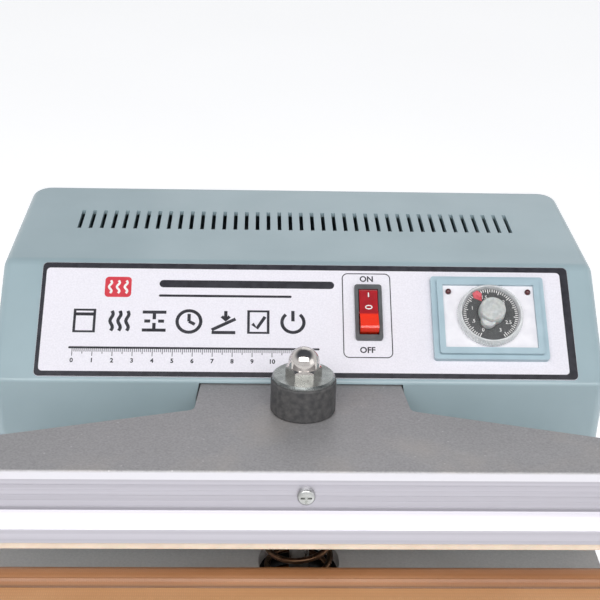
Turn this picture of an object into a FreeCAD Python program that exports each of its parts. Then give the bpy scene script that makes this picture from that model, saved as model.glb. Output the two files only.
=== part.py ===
"""Foot-operated impulse heat sealer on a column stand.

Millimetres. +Z is up, the operator stands at -Y, +X is the operator's right.
The origin is on the floor, at the middle of the overall box.
Pieces of the swinging arm are drawn with the jaws closed and then swung open to rest.
"""
import FreeCAD
import Part

import math
import os

V = FreeCAD.Vector
X_AXIS = V(1, 0, 0)
Y_AXIS = V(0, 1, 0)
Z_AXIS = V(0, 0, 1)

# ---- stand ----
foot_length = 440.0
foot_size = 40.0
foot_wall = 2.5
foot_spacing = 330.0
foot_corner = 5.0
pad_height = 10.0
pad_radius = 17.0
pad_from_end = 52.0
anchor_hole_radius = 5.5
anchor_from_end = 17.0
end_cap_lip = 3.0
cross_depth = 80.0
column_size = 60.0
column_wall = 3.0
column_length = 708.0
column_y = 35.0
column_corner = 7.0
head_plate_width = 200.0
head_plate_depth = 120.0
head_plate_thickness = 8.0

# ---- deck and housing ----
deck_thickness = 8.0
deck_corner = 10.0
column_behind_wall = 60.0
housing_width = 308.0
housing_wall = 2.5
housing_top_depth = 100.0
panel_length = 67.0
panel_angle = 36.5
front_edge_radius = 2.2
fold_radius = 9.0
side_edge_radius = 5.0
rear_corner_radius = 11.0
vent_count = 40
vent_pitch = 6.1
vent_width = 2.1
vent_length = 24.0
vent_from_fold = 40.2
opening_lip = 0.9
neck_clearance = 0.8
opening_corner = 9.0

# ---- jaws ----
jaw_length = 450.0
seal_length = 400.0
bead_from_wall = 85.0
lower_bar_height = 33.2
lower_bar_front = 16.0
lower_bar_back = 5.0
bar_wall = 2.5
insulator_width = 7.4
insulator_height = 3.9
band_width = 4.6
band_thickness = 0.3
ptfe_thickness = 0.4
closed_gap = 0.4
silicone_width = 12.4
silicone_proud = 3.8
silicone_depth = 2.6
silicone_ahead = 7.2
upper_bar_height = 28.6
foot_step = 6.0
foot_lip = 7.0
foot_slope = 6.5
upper_bar_depth = 15.5
groove_count = 5
groove_pitch = 2.6
groove_depth = 0.15
groove_width = 0.6

# ---- swinging arm ----
open_angle = 5.7
plate_thickness = 4.5
plate_edge_radius = 1.4
neck_half = 52.0
neck_back_half = 50.0
neck_from_wall = 29.0
wing_slope = 0.298
neck_corner_radius = 4.0
hinge_behind_wall = 93.0
hinge_below_plate = 16.0
hinge_block_half = 50.0
hinge_block_depth = 26.0
neck_tail = 15.0
shaft_radius = 6.0
bush_wall = 1.6
bush_length = 14.0
running_clearance = 0.05
bracket_thickness = 8.0
bracket_width = 36.0
bracket_gap = 4.5

# ---- pull bolt, spring, rod and pedal ----
bolt_from_wall = 27.7
bolt_radius = 5.0
bumper_radius = 15.6
bumper_height = 17.0
washer_thickness = 1.6
nut_across_flats = 15.0
nut_hex_height = 4.8
nut_dome_radius = 7.4
deck_hole_radius = 20.5
seat_drop = 34.0
seat_thickness = 3.0
seat_flange = 8.0
spring_radius = 16.0
spring_wire = 1.6
spring_turns = 11.0
clevis_below_deck = 72.0
clevis_gap = 9.0
clevis_pin_radius = 4.0
rod_radius = 5.0
pedal_pivot_height = 95.0
pedal_reach = 165.0
pedal_pin_reach = 45.4
pedal_bar_thickness = 6.0
tread_width = 150.0
tread_depth = 85.0
tread_thickness = 4.0
tread_rubber = 6.0
link_play = 0.6

# ---- control panel ----
nameplate_width = 272.4
nameplate_height = 63.2
nameplate_shift = 3.3
nameplate_from_edge = 2.1
nameplate_thickness = 0.8
switch_x = 34.6
switch_s = 38.0
switch_width = 14.0
switch_height = 31.0
switch_rim = 2.0
switch_body_depth = 17.0
rocker_width = 9.4
rocker_length = 24.0
rocker_tilt = 11.0
timer_x = 96.2
timer_s = 34.9
timer_bezel_width = 58.4
timer_bezel_height = 46.2
timer_bezel_thickness = 3.0
timer_step_width = 52.8
timer_step_height = 41.6
timer_step_thickness = 2.2
timer_face_width = 47.0
timer_face_height = 35.0
timer_body_depth = 56.0
timer_recess = 1.4
lamp_radius = 1.55
lamp_out = 20.5
lamp_up = 13.9
dial_radius = 17.0
dial_height = 4.6
dial_top_plate = 1.0
scale_height = 3.0
scale_radius = 14.2
knob_radius = 6.8
knob_height = 9.0
spindle_radius = 3.0

# ---- wiring ----
lead_radius = 1.7
lead_bore = 3.6
lead_x = 133.0
lead_behind_front = 8.4
lead_from_end = 8.5

# ---- stand, smaller sizes ----
frame_bolt_radius = 4.0

# ---- deck, spring seat, smaller sizes ----
deck_screw_radius = 2.5

# ---- lower jaw, smaller sizes ----
cover_drop = 16.0
terminal_seat = 1.2
terminal_front = 13.9
terminal_screw_from_end = 11.0
terminal_screw_front = 10.6
side_screw_ys = (20.0, 108.0)
clamp_height = 10.0
clamp_thickness = 2.0

# ---- housing, smaller sizes ----
cover_thickness = 1.6
gland_thread = 6.0
gland_bore = 3.8

# ---- control panel, smaller sizes ----
rocker_pivot_depth = 1.0
rocker_radius = 12.6
rocker_pin_radius = 1.2
rocker_pin_reach = 5.6
lobe_radius = 3.4
lobe_reach = 5.0

# ---- inside the housing, smaller sizes ----
core_x = -112.0
core_width = 46.0
core_depth = 66.0
core_height = 56.0
core_y = 30.0
block_x = 114.0
block_y = 88.0

# ---- arm, smaller sizes ----
block_screw_xs = (-40.0, 40.0)
jaw_screw_xs = (-190.0, 0.0, 190.0)

# ---- rod, smaller sizes ----
eye_half = 3.9
eye_radius = 8.5

# ---- pedal, smaller sizes ----
pedal_pivot_radius = 5.0
cheek_half = 14.0
tread_low = 8.0
bracket_plate = 5.0

# ---- limit switch, smaller sizes ----
limit_x = 28.0
limit_reach = 20.0
limit_drop = 8.0

# ---- places that follow from the sizes above ----
wall_y = column_y - column_behind_wall
foot_top = pad_height + foot_size
column_top = foot_top + column_length
deck_bottom = column_top + head_plate_thickness
deck_top = deck_bottom + deck_thickness
bead_y = wall_y - bead_from_wall
ledge_z = deck_top + lower_bar_height
bead_z = ledge_z + insulator_height + band_thickness + ptfe_thickness
bar_bottom_closed = bead_z + closed_gap + silicone_proud
plate_bottom_closed = bar_bottom_closed + upper_bar_height
plate_top_closed = plate_bottom_closed + plate_thickness
hinge_y = wall_y + hinge_behind_wall
hinge_z = plate_top_closed - hinge_below_plate
hinge = V(0, hinge_y, hinge_z)
swing = math.radians(open_angle)
neck_top_at_wall = (
    hinge_z + hinge_behind_wall * math.tan(swing) + hinge_below_plate / math.cos(swing)
)
opening_top = neck_top_at_wall + neck_clearance
fold_z = opening_top + opening_lip
slope = math.radians(panel_angle)
panel_rise = panel_length * math.sin(slope)
panel_run = panel_length * math.cos(slope)
housing_top = fold_z + panel_rise
housing_back = wall_y + panel_run + housing_top_depth
opening_half = neck_half + 2.5
opening_bottom = plate_bottom_closed - 4.5
foot_front_y = bead_y - silicone_ahead
rib_front_y = foot_front_y + foot_step
bar_back_y = rib_front_y + upper_bar_depth
bolt_y = wall_y - bolt_from_wall
deck_front = bead_y - lower_bar_front
lead_y = deck_front + lead_behind_front
lead_end_x = jaw_length / 2 - lead_from_end
terminal_screw_x = jaw_length / 2 - terminal_screw_from_end
clevis_z_closed = deck_bottom - clevis_below_deck


def bolt_point(z_closed):
    """Where a point on the pull bolt's axis is at rest, given its height when closed."""
    point = V(0, bolt_y, z_closed) - hinge
    turn = FreeCAD.Rotation(X_AXIS, -open_angle)
    return hinge + turn.multVec(point)


seat_bottom = deck_bottom - seat_drop
seat_y = (bolt_point(seat_bottom).y + bolt_y) / 2
seat_hole_radius = bolt_radius + abs(bolt_point(seat_bottom).y - bolt_y) / 2 + 2.3
clevis_closed = V(0, bolt_y, clevis_z_closed)
clevis_rest = bolt_point(clevis_z_closed)
rod_travel = clevis_rest.z - clevis_closed.z
pedal_half_travel = math.degrees(math.asin(rod_travel / (2 * pedal_pin_reach)))
link_y = (clevis_rest.y + clevis_closed.y) / 2
pivot = V(0, link_y + pedal_pin_reach * math.cos(math.radians(pedal_half_travel)), pedal_pivot_height)
link_rest = V(0, link_y, pedal_pivot_height + rod_travel / 2)
rod_tilt = math.degrees(math.atan2(clevis_rest.y - link_rest.y, clevis_rest.z - link_rest.z))


# ---- helpers ----
def box(x0, x1, y0, y1, z0, z1):
    """A block between two corners."""
    return Part.makeBox(x1 - x0, y1 - y0, z1 - z0, V(x0, y0, z0))


def rod(radius, start, direction, length):
    """A round bar from a start point along a direction."""
    return Part.makeCylinder(radius, length, start, direction)


def ring(outer, inner, start, direction, length):
    """A round bar with a round hole along it."""
    return rod(outer, start, direction, length).cut(rod(inner, start, direction, length))


def side_shape(points, x0, x1):
    """Extrudes a closed outline in the Y-Z plane from x0 to x1."""
    corners = [V(x0, y, z) for y, z in points]
    face = Part.Face(Part.makePolygon(corners + corners[:1]))
    return face.extrude(V(x1 - x0, 0, 0))


def plan_shape(points, z0, z1):
    """Extrudes a closed outline in the X-Y plane from z0 to z1."""
    corners = [V(x, y, z0) for x, y in points]
    face = Part.Face(Part.makePolygon(corners + corners[:1]))
    return face.extrude(V(0, 0, z1 - z0))


def edges_where(shape, test):
    """The edges that pass a test."""
    return [e for e in shape.Edges if test(e)]


def runs_along(edge, axis):
    """Whether an edge is straight and runs along an axis."""
    if edge.Curve.TypeId != "Part::GeomLine":
        return False
    direction = edge.tangentAt(edge.FirstParameter)
    return abs(abs(direction.dot(axis)) - 1) < 1e-6


def near(edge, **place):
    """Whether an edge's middle is at this place."""
    centre = edge.CenterOfMass
    return all(abs(getattr(centre, k) - value) < 0.01 for k, value in place.items())


def rounded_box(x0, x1, y0, y1, z0, z1, radius, axis=Z_AXIS):
    """A box whose four edges along axis are rounded."""
    block = box(x0, x1, y0, y1, z0, z1)
    return block.makeFillet(radius, edges_where(block, lambda e: runs_along(e, axis)))


def both_sides(make):
    """A pair of solids, made for the right and the left side."""
    return Part.makeCompound([make(1), make(-1)])


def hexagon(across_flats, centre, height):
    """An upright hexagonal block on a centre."""
    radius = across_flats / math.sqrt(3)
    corners = [
        centre + V(radius * math.cos(math.radians(60 * i)), radius * math.sin(math.radians(60 * i)), 0)
        for i in range(6)
    ]
    face = Part.Face(Part.makePolygon(corners + corners[:1]))
    return face.extrude(V(0, 0, height))


def turned(shape, axis_point, axis, degrees):
    """A copy of a shape, turned about an axis."""
    copy = shape.copy()
    copy.rotate(axis_point, axis, degrees)
    return copy


def swung_open(shape):
    """Turns a piece of the arm from closed to its rest position."""
    return turned(shape, hinge, X_AXIS, -open_angle)


def on_panel(shape):
    """Moves a piece drawn flat (x right, y up the slope, z out) on to the sloping panel."""
    copy = turned(shape, V(0, 0, 0), X_AXIS, panel_angle)
    copy.translate(V(0, wall_y, fold_z))
    return copy


def pan_head_screw(centre, out, head_radius, head_height, shank_radius, shank_length):
    """A cross-recess screw: its head's seat is at centre, and out points out of the head."""
    head = rod(head_radius, centre, out, head_height)
    head = head.makeFillet(head_height * 0.55,
                           [e for e in head.Edges if e.Curve.TypeId == "Part::GeomCircle"
                                               and (e.CenterOfMass - centre).dot(out) > head_height / 2])
    shank = rod(shank_radius, centre - out * shank_length, out, shank_length + head_height * 0.3)
    side = out.cross(X_AXIS)
    if side.Length < 0.1:
        side = out.cross(Y_AXIS)
    side.normalize()
    across = out.cross(side)
    slot_depth = head_height * 0.55
    arm = head_radius * 0.62
    half = head_radius * 0.12
    screw = head.fuse(shank)
    for a, b in ((side, across), (across, side)):
        corner = centre + out * (head_height - slot_depth) - a * arm - b * half
        points = [corner, corner + a * 2 * arm, corner + a * 2 * arm + b * 2 * half,
                  corner + b * 2 * half]
        slot = Part.Face(Part.makePolygon(points + points[:1])).extrude(out * (slot_depth + 1))
        screw = screw.cut(slot)
    return screw


def save(name, shape):
    """Writes one node's file and prints what it holds."""
    shape = shape.removeSplitter() if shape.ShapeType in ("Solid", "Compound") else shape
    shape.exportStep(f"parts/{name}.step")
    print(f"{name}: {len(shape.Solids)} solid(s), valid {shape.isValid()}, {shape.Volume / 1000:.2f} cm3")


# ---- stand ----
def tube(x0, x1, y0, y1, z0, z1, wall, corner, axis):
    """A square tube along axis."""
    outer = rounded_box(x0, x1, y0, y1, z0, z1, corner, axis)
    inset = [0 if abs(getattr(axis, k)) > 0.5 else wall for k in ("x", "y", "z")]
    inner = rounded_box(
        x0 + inset[0], x1 - inset[0], y0 + inset[1], y1 - inset[1], z0 + inset[2], z1 - inset[2],
        corner - wall, axis,
    )
    return outer.cut(inner)


def foot(side):
    """One of the two long floor tubes, with its holes for anchors and pads."""
    centre = side * foot_spacing / 2
    body = tube(
        centre - foot_size / 2, centre + foot_size / 2, -foot_length / 2, foot_length / 2,
        pad_height, foot_top, foot_wall, foot_corner, Y_AXIS,
    )
    for end in (-1, 1):
        hole_y = end * (foot_length / 2 - anchor_from_end)
        body = body.cut(rod(anchor_hole_radius, V(centre, hole_y, 0), Z_AXIS, foot_top + 5))
    return body


def foot_pads():
    """A rubber pad under each end of each foot."""
    pads = []
    for side in (-1, 1):
        for end in (-1, 1):
            centre = V(side * foot_spacing / 2, end * (foot_length / 2 - pad_from_end), 0)
            pad = Part.makeCone(pad_radius, pad_radius - 2.5, pad_height, centre, Z_AXIS)
            pads.append(pad)
    return Part.makeCompound(pads)


def foot_end_caps():
    """The moulded caps that close the feet's ends."""
    caps = []
    for side in (-1, 1):
        for end in (-1, 1):
            centre = side * foot_spacing / 2
            y = end * foot_length / 2
            half = foot_size / 2
            lip = rounded_box(
                centre - half, centre + half, min(y, y + end * end_cap_lip), max(y,
                                                                                 y + end * end_cap_lip),
                pad_height, foot_top, foot_corner, Y_AXIS,
            )
            plug_half = half - foot_wall - 0.1
            middle = pad_height + half
            plug = box(
                centre - plug_half + 3, centre + plug_half - 3, min(y, y - end * 6), max(y,
                                                                                         y - end * 6),
                middle - plug_half + 3, middle + plug_half - 3,
            )
            caps.append(lip.fuse(plug))
    return Part.makeCompound(caps)


def cross_tube():
    """The tube between the two feet that carries the column."""
    half = foot_spacing / 2 - foot_size / 2
    body = tube(
        -half, half, column_y - cross_depth / 2, column_y + cross_depth / 2,
        pad_height, foot_top, foot_wall, foot_corner, X_AXIS,
    )
    return body


def column():
    """The square upright."""
    half = column_size / 2
    return tube(
        -half, half, column_y - half, column_y + half, foot_top, column_top,
        column_wall, column_corner, Z_AXIS,
    )


head_bolt_x = head_plate_width / 2 - 16
head_plate_y0 = column_y - 50
head_bolt_ys = (head_plate_y0 + 16, head_plate_y0 + head_plate_depth - 16)


def head_bolt_places():
    """Where the bolts through the head plate stand."""
    return [(x, y) for x in (-head_bolt_x, head_bolt_x) for y in head_bolt_ys]


def head_plate():
    """The plate on the column's top that carries the head."""
    plate = rounded_box(
        -head_plate_width / 2, head_plate_width / 2, head_plate_y0, head_plate_y0 + head_plate_depth,
        column_top, deck_bottom, 8.0,
    )
    for x, y in head_bolt_places():
        plate = plate.cut(rod(frame_bolt_radius + 0.5, V(x, y, column_top - 1), Z_AXIS,
                              head_plate_thickness + 2))
    return plate


def frame_bolts():
    """Hexagon bolts that hold the deck to the head plate, from below."""
    bolts = []
    for x, y in head_bolt_places():
        head = hexagon(13.0, V(x, y, column_top - 5.3), 5.3)
        shank = rod(frame_bolt_radius, V(x, y, column_top - 0.5), Z_AXIS,
                    head_plate_thickness + deck_thickness * 0.75)
        bolts.append(head.fuse(shank))
    return Part.makeCompound(bolts)


# ---- deck, spring seat ----
bracket_inner = hinge_block_half + bracket_gap
bracket_outer = bracket_inner + bracket_thickness
bracket_screw_ys = (hinge_y - 11, hinge_y + 11)


def deck_plate():
    """The flat plate that everything above is screwed to."""
    half = housing_width / 2
    plate = rounded_box(-half, half, deck_front, housing_back, deck_bottom, deck_top, deck_corner)
    plate = plate.cut(rod(deck_hole_radius, V(0, seat_y, deck_bottom - 1), Z_AXIS, deck_thickness + 2))
    for x, y in head_bolt_places():
        plate = plate.cut(rod(frame_bolt_radius, V(x, y, deck_bottom - 1), Z_AXIS,
                              deck_thickness * 0.75 + 1))
    for side in (-1, 1):
        for y in bracket_screw_ys:
            centre = V(side * (bracket_outer + 10), y, deck_top - 6)
            plate = plate.cut(rod(deck_screw_radius, centre, Z_AXIS, 7))
        for y in (lead_y, wall_y + 14):
            plate = plate.cut(rod(lead_bore, V(side * lead_x, y, deck_bottom - 1), Z_AXIS,
                                  deck_thickness + 2))
    return plate


def spring_seat():
    """A round cup under the deck's hole that carries the spring's lower end."""
    outer = deck_hole_radius + seat_thickness
    bottom = deck_bottom - seat_drop
    centre = V(0, seat_y, bottom)
    cup = rod(outer, centre, Z_AXIS, seat_drop)
    cup = cup.makeFillet(3.0, [e for e in cup.Edges if e.Curve.TypeId == "Part::GeomCircle"
                               and e.CenterOfMass.z < bottom + 1])
    flange = rod(outer + seat_flange, V(0, seat_y, deck_bottom - seat_thickness), Z_AXIS,
                 seat_thickness)
    cup = cup.fuse(flange)
    cup = cup.cut(rod(deck_hole_radius, V(0, seat_y, bottom + seat_thickness), Z_AXIS, seat_drop))
    return cup.cut(rod(seat_hole_radius, V(0, seat_y, bottom - 1), Z_AXIS, seat_thickness + 2))


spring_bottom = V(0, seat_y, seat_bottom + seat_thickness)
spring_top = bolt_point(plate_bottom_closed)


def return_spring():
    """A compression spring round the pull bolt, with closed ends."""
    axis = spring_top - spring_bottom
    height = axis.Length - 2 * spring_wire - 2.0
    pitch = height / spring_turns
    helix = Part.makeHelix(pitch, height, spring_radius)
    profile = Part.Wire(Part.makeCircle(spring_wire, V(spring_radius, 0, 0), Y_AXIS))
    coil = Part.Wire(helix).makePipeShell([profile], True, True)
    tilt = math.degrees(math.atan2(axis.y, axis.z))
    coil.rotate(V(0, 0, 0), X_AXIS, -tilt)
    coil.translate(spring_bottom + V(0, 0, spring_wire + 1.0))
    return coil


# ---- lower jaw ----
lower_front = bead_y - lower_bar_front
lower_back = bead_y + lower_bar_back
half_jaw = jaw_length / 2


def lower_bar_block():
    """The lower bar's outside, with its top front edge rounded for the cloth."""
    outer = box(-half_jaw, half_jaw, lower_front, lower_back, deck_top, ledge_z)
    top_front = edges_where(outer, lambda e: runs_along(e, X_AXIS) and near(e, y=lower_front,
                                                                            z=ledge_z))
    return outer.makeFillet(2.0, top_front)


def lower_jaw_bar():
    """The hollow lower bar, with a hole for each lead below and above."""
    outer = lower_bar_block()
    inner = box(-half_jaw - 1, half_jaw + 1, lower_front + bar_wall, lower_back - bar_wall,
                deck_top + bar_wall, ledge_z - bar_wall - 1.5)
    inner = inner.makeFillet(1.2, edges_where(inner, lambda e: runs_along(e, X_AXIS)))
    bar = outer.cut(inner)
    for side in (-1, 1):
        bar = bar.cut(rod(lead_bore, V(side * lead_x, lead_y, deck_top - 1), Z_AXIS, 6))
        bar = bar.cut(rod(lead_radius + 0.6, V(side * lead_end_x, lead_y, ledge_z - 6), Z_AXIS, 8))
        for x in clamp_screw_xs:
            bar = bar.cut(clamp_screw_hole(x, side))
    return bar


def heater_insulator():
    """The raised strip that carries the heating band."""
    half = insulator_width / 2
    strip = box(-half_jaw, half_jaw, bead_y - half, bead_y + half, ledge_z, ledge_z + insulator_height)
    return strip


def insulators():
    """The strip under the band and the two pads under its clamps."""
    return Part.makeCompound([heater_insulator(), terminal_insulator(1), terminal_insulator(-1)])


def heating_band():
    """The resistance band on its strip, with a tail at each end that lies under the clamp's screw."""
    half = band_width / 2
    z = ledge_z + insulator_height
    band = box(-terminal_screw_x, terminal_screw_x, bead_y - half, bead_y + half, z, z + band_thickness)
    for side in (-1, 1):
        centre = terminal_screw_place(side)
        tail = box(centre.x - half, centre.x + half, centre.y - half, bead_y + half, z,
                   z + band_thickness)
        band = band.fuse(tail).cut(rod(1.3, centre - V(0, 0, 1), Z_AXIS, 3))
    return band.removeSplitter()


def cover_outline(grow):
    """The path that the cloth follows over the bar: the back, the bead, the ledge and the front."""
    half = insulator_width / 2 + grow
    radius = 2.0 + grow
    arc = [
        (lower_front - grow + radius * (1 - math.cos(a)), ledge_z + grow - radius * (1 - math.sin(a)))
        for a in (math.radians(d) for d in range(15, 90, 15))
    ]
    top = ledge_z + insulator_height + band_thickness + grow
    crown = [(bead_y - half, top - 1.2), (bead_y - half + 0.5, top - 0.35), (bead_y - half + 1.3, top)]
    crown += [(2 * bead_y - y, z) for y, z in reversed(crown)]
    return (
        [(lower_front - grow, ledge_z - cover_drop), (lower_front - grow, ledge_z + grow - radius)]
        + arc
        + [(lower_front - grow + radius, ledge_z + grow), (bead_y - half, ledge_z + grow)]
        + crown
        + [(bead_y + half, ledge_z + grow), (lower_back + grow, ledge_z + grow),
           (lower_back + grow, ledge_z - cover_drop)]
    )


def ptfe_cover():
    """The glass-cloth cover: two outlines a cloth's thickness apart."""
    half = seal_length / 2 + 8
    outer = side_shape(cover_outline(ptfe_thickness), -half, half)
    under = [(y, z) for y, z in cover_outline(0.0)]
    inner = side_shape(under, -half - 1, half + 1)
    cloth = outer.cut(inner)
    cloth = cloth.cut(lower_bar_block())
    cloth = cloth.cut(heater_insulator()).cut(heating_band())
    for side in (-1, 1):
        for x in clamp_screw_xs:
            cloth = cloth.cut(clamp_screw_hole(x, side))
    return cloth


clamp_screw_xs = [-180.0, -90.0, 0.0, 90.0, 180.0]
clamp_middle = ledge_z - cover_drop + clamp_height / 2 + 1


def clamp(side):
    """The strip that clamps the cloth: side is -1 in front and 1 behind."""
    face = lower_front - ptfe_thickness if side < 0 else lower_back + ptfe_thickness
    y0, y1 = sorted((face, face + side * clamp_thickness))
    half = seal_length / 2 + 8
    return rounded_box(-half, half, y0, y1, clamp_middle - clamp_height / 2,
                       clamp_middle + clamp_height / 2, 1.5, Y_AXIS)


def ptfe_clamps():
    """The flat strips that hold the cloth's two hems to the bar."""
    strips = [clamp(-1), clamp(1)]
    for i, side in enumerate((-1, 1)):
        for x in clamp_screw_xs:
            strips[i] = strips[i].cut(clamp_screw_hole(x, side))
    return Part.makeCompound(strips)


def clamp_screw_hole(x, side):
    """A hole through a clamp strip, the cloth and the bar's wall."""
    return rod(1.5, V(x, lower_front - 8 if side < 0 else lower_back - 8, clamp_middle), Y_AXIS, 16)


def clamp_screws():
    """The screws along both clamp strips."""
    screws = []
    for side in (-1, 1):
        face = lower_front - ptfe_thickness if side < 0 else lower_back + ptfe_thickness
        for x in clamp_screw_xs:
            seat = V(x, face + side * clamp_thickness, clamp_middle)
            screws.append(pan_head_screw(seat, V(0, side, 0), 2.8, 1.9, 1.5, clamp_thickness + 2.2))
    return Part.makeCompound(screws)


def terminal_insulator(side):
    """A phenolic pad at the bar's end, under the band's end clamp."""
    x0 = side * (seal_length / 2 + 9)
    x1 = side * (half_jaw - 1)
    pad = box(min(x0, x1), max(x0, x1), bead_y - terminal_front, bead_y - insulator_width / 2,
              ledge_z, ledge_z + terminal_seat)
    return pad.cut(rod(lead_radius + 0.6, V(side * lead_end_x, lead_y, ledge_z - 1), Z_AXIS, 6))


def terminal_screw_place(side):
    """The middle of the clamp's top, ahead of everything that comes down with the arm."""
    return V(side * terminal_screw_x, bead_y - terminal_screw_front, ledge_z + insulator_height)


def heater_terminal(side):
    """A brass clamp that holds and feeds the band's end, with its screw."""
    x0 = side * (seal_length / 2 + 10)
    x1 = side * (half_jaw - 2)
    block = rounded_box(min(x0, x1), max(x0, x1), bead_y - terminal_front + 0.8,
                        bead_y - insulator_width / 2 - 1.0,
                        ledge_z + terminal_seat, ledge_z + insulator_height, 1.0)
    top = terminal_screw_place(side)
    shank = rod(1.2, top - V(0, 0, 0.5), Z_AXIS, band_thickness + 1.0)
    head = rod(2.2, top + V(0, 0, band_thickness), Z_AXIS, 1.5)
    head = head.cut(box(top.x - 0.3, top.x + 0.3, top.y - 3, top.y + 3, top.z + 1.2, top.z + 3))
    return block.fuse([shank, head])


# ---- housing ----
def housing_outline(inset):
    """The housing's side profile (y, z), moved inwards by inset."""
    knee_z = fold_z - inset * (1 - math.sin(slope)) / math.cos(slope)
    top_y = wall_y + panel_run + inset * math.tan(slope / 2)
    return [
        (wall_y + inset, deck_top), (wall_y + inset, knee_z), (top_y, housing_top - inset),
        (housing_back - inset, housing_top - inset), (housing_back - inset, deck_top),
    ]


def housing_block(inset):
    """The housing's outside, or its inside when inset is the wall's thickness."""
    half = housing_width / 2 - inset
    block = side_shape(housing_outline(inset), -half, half)
    top = housing_top - inset
    folds = edges_where(block, lambda e: runs_along(e, X_AXIS) and e.CenterOfMass.z > top - 0.1
                        and e.CenterOfMass.y < housing_back - 20)
    block = block.makeFillet(fold_radius - inset, folds)
    front = edges_where(block, lambda e: runs_along(e, X_AXIS) and e.CenterOfMass.z > deck_top + 20
                        and e.CenterOfMass.y < wall_y + inset + 0.1)
    block = block.makeFillet(front_edge_radius + (0 if inset else inset), front)
    rear = edges_where(block,
                       lambda e: runs_along(e,
                                            Z_AXIS) and e.CenterOfMass.y > housing_back - inset - 0.1)
    block = block.makeFillet(rear_corner_radius - inset, rear)
    rim = edges_where(
        block,
        lambda e: (abs(abs(e.CenterOfMass.x) - half) < 0.01 and e.CenterOfMass.z > deck_top + 1
                   and e.CenterOfMass.y < housing_back - rear_corner_radius - 1)
        or (e.CenterOfMass.z > top - 0.01 and e.CenterOfMass.y > housing_back - rear_corner_radius),
    )
    return block.makeFillet(side_edge_radius - inset, rim)


def panel_box(x, s, width, height, low, high):
    """A box on the sloping panel: centre (x, s) and from low to high along its normal."""
    return on_panel(box(x - width / 2, x + width / 2, s - height / 2, s + height / 2, low, high))


def panel_rounded(x, s, width, height, low, high, radius):
    """A block with rounded corners, standing on the sloping panel."""
    return on_panel(
        rounded_box(x - width / 2, x + width / 2, s - height / 2, s + height / 2, low, high, radius)
    )


cover_half = housing_width / 2 - 32
cover_bottom = deck_top + 14
cover_top = housing_top - 16


def neck_opening():
    """The arm's opening in the front wall: narrow at the top, wider and rounded below."""
    low, high = opening_half, neck_back_half + 0.8
    corners = [V(x, wall_y - 1, z) for x, z in (
        (-low, opening_bottom), (low, opening_bottom), (high, opening_top), (-high, opening_top))]
    cut = Part.Face(Part.makePolygon(corners + corners[:1])).extrude(V(0, housing_wall + 2, 0))
    return cut.makeFillet(opening_corner, edges_where(
        cut, lambda e: runs_along(e, Y_AXIS) and e.CenterOfMass.z < opening_bottom + 0.1))


def housing():
    """The pressed shell, open below and behind, with its slots and cut-outs."""
    shell = housing_block(0).cut(housing_block(housing_wall))
    top_y = wall_y + panel_run + vent_from_fold
    first = -(vent_count - 1) * vent_pitch / 2 - 1.3
    for i in range(vent_count):
        x = first + i * vent_pitch
        shell = shell.cut(box(x - vent_width / 2, x + vent_width / 2, top_y, top_y + vent_length,
                              housing_top - housing_wall - 1, housing_top + 1))
    shell = shell.cut(neck_opening())
    shell = shell.cut(panel_box(switch_x, switch_s, switch_width - 1.4, switch_height - 3, -6, 6))
    shell = shell.cut(panel_box(timer_x, timer_s, timer_step_width - 7, timer_step_height - 7, -6, 6))
    rear = box(-cover_half + 8, cover_half - 8, housing_back - housing_wall - 1, housing_back + 1,
               cover_bottom + 8, cover_top - 8)
    shell = shell.cut(rear)
    shell = shell.cut(rod(gland_thread, V(gland_x, housing_back - 10, gland_z), Y_AXIS, 20))
    for centre, out in cover_screw_places() + side_screw_places():
        shell = shell.cut(rod(1.6, centre - out * 6, out, 12))
    return shell


gland_x = cover_half + 10.5
gland_z = deck_top + 22


def cover_screw_places():
    """Where the back cover's screws go in, and which way they face."""
    y = housing_back + cover_thickness
    xs = [-cover_half + 4, 0, cover_half - 4]
    return [(V(x, y, z), V(0, 1, 0)) for x in xs for z in (cover_bottom + 4, cover_top - 4)]


def side_screw_places():
    """Where the housing's side screws go in, and which way they face."""
    half = housing_width / 2
    return [(V(side * half, y, deck_top + 10), V(side, 0, 0)) for side in (1, -1)
            for y in side_screw_ys]


def back_cover():
    """The flat rear cover with two rows of air slots."""
    plate = rounded_box(-cover_half, cover_half, housing_back, housing_back + cover_thickness,
                        cover_bottom, cover_top, 5.0, Y_AXIS)
    for i in range(12):
        x = (i - 5.5) * 12.0
        for row in range(2):
            z = cover_bottom + 30 + row * 30
            plate = plate.cut(box(x - 1.2, x + 1.2, housing_back - 1, housing_back + 4, z, z + 20))
    for centre, out in cover_screw_places():
        plate = plate.cut(rod(1.6, centre - out * 6, out, 12))
    return plate


def housing_screws():
    """The screws of the back cover and of the housing's sides."""
    screws = [pan_head_screw(c, o, 3.2, 2.2, 1.6, cover_thickness + housing_wall + 2)
              for c, o in cover_screw_places()]
    screws += [pan_head_screw(c, o, 3.2, 2.2, 1.6, housing_wall + 3) for c, o in side_screw_places()]
    return Part.makeCompound(screws)


def housing_clips():
    """Angle pieces on the deck that the housing's side screws bite into."""
    clips = []
    for centre, out in side_screw_places():
        face = centre - out * housing_wall
        x0, x1 = sorted((face.x, face.x - out.x * 2))
        x2, x3 = sorted((face.x, face.x - out.x * 14))
        upright = box(x0, x1, face.y - 9, face.y + 9, deck_top, deck_top + 18)
        foot_part = box(x2, x3, face.y - 9, face.y + 9, deck_top, deck_top + 2)
        clip = upright.fuse(foot_part)
        clips.append(clip.cut(rod(1.6, face + out * 1, out * -1, 5)))
    return Part.makeCompound(clips)


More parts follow.
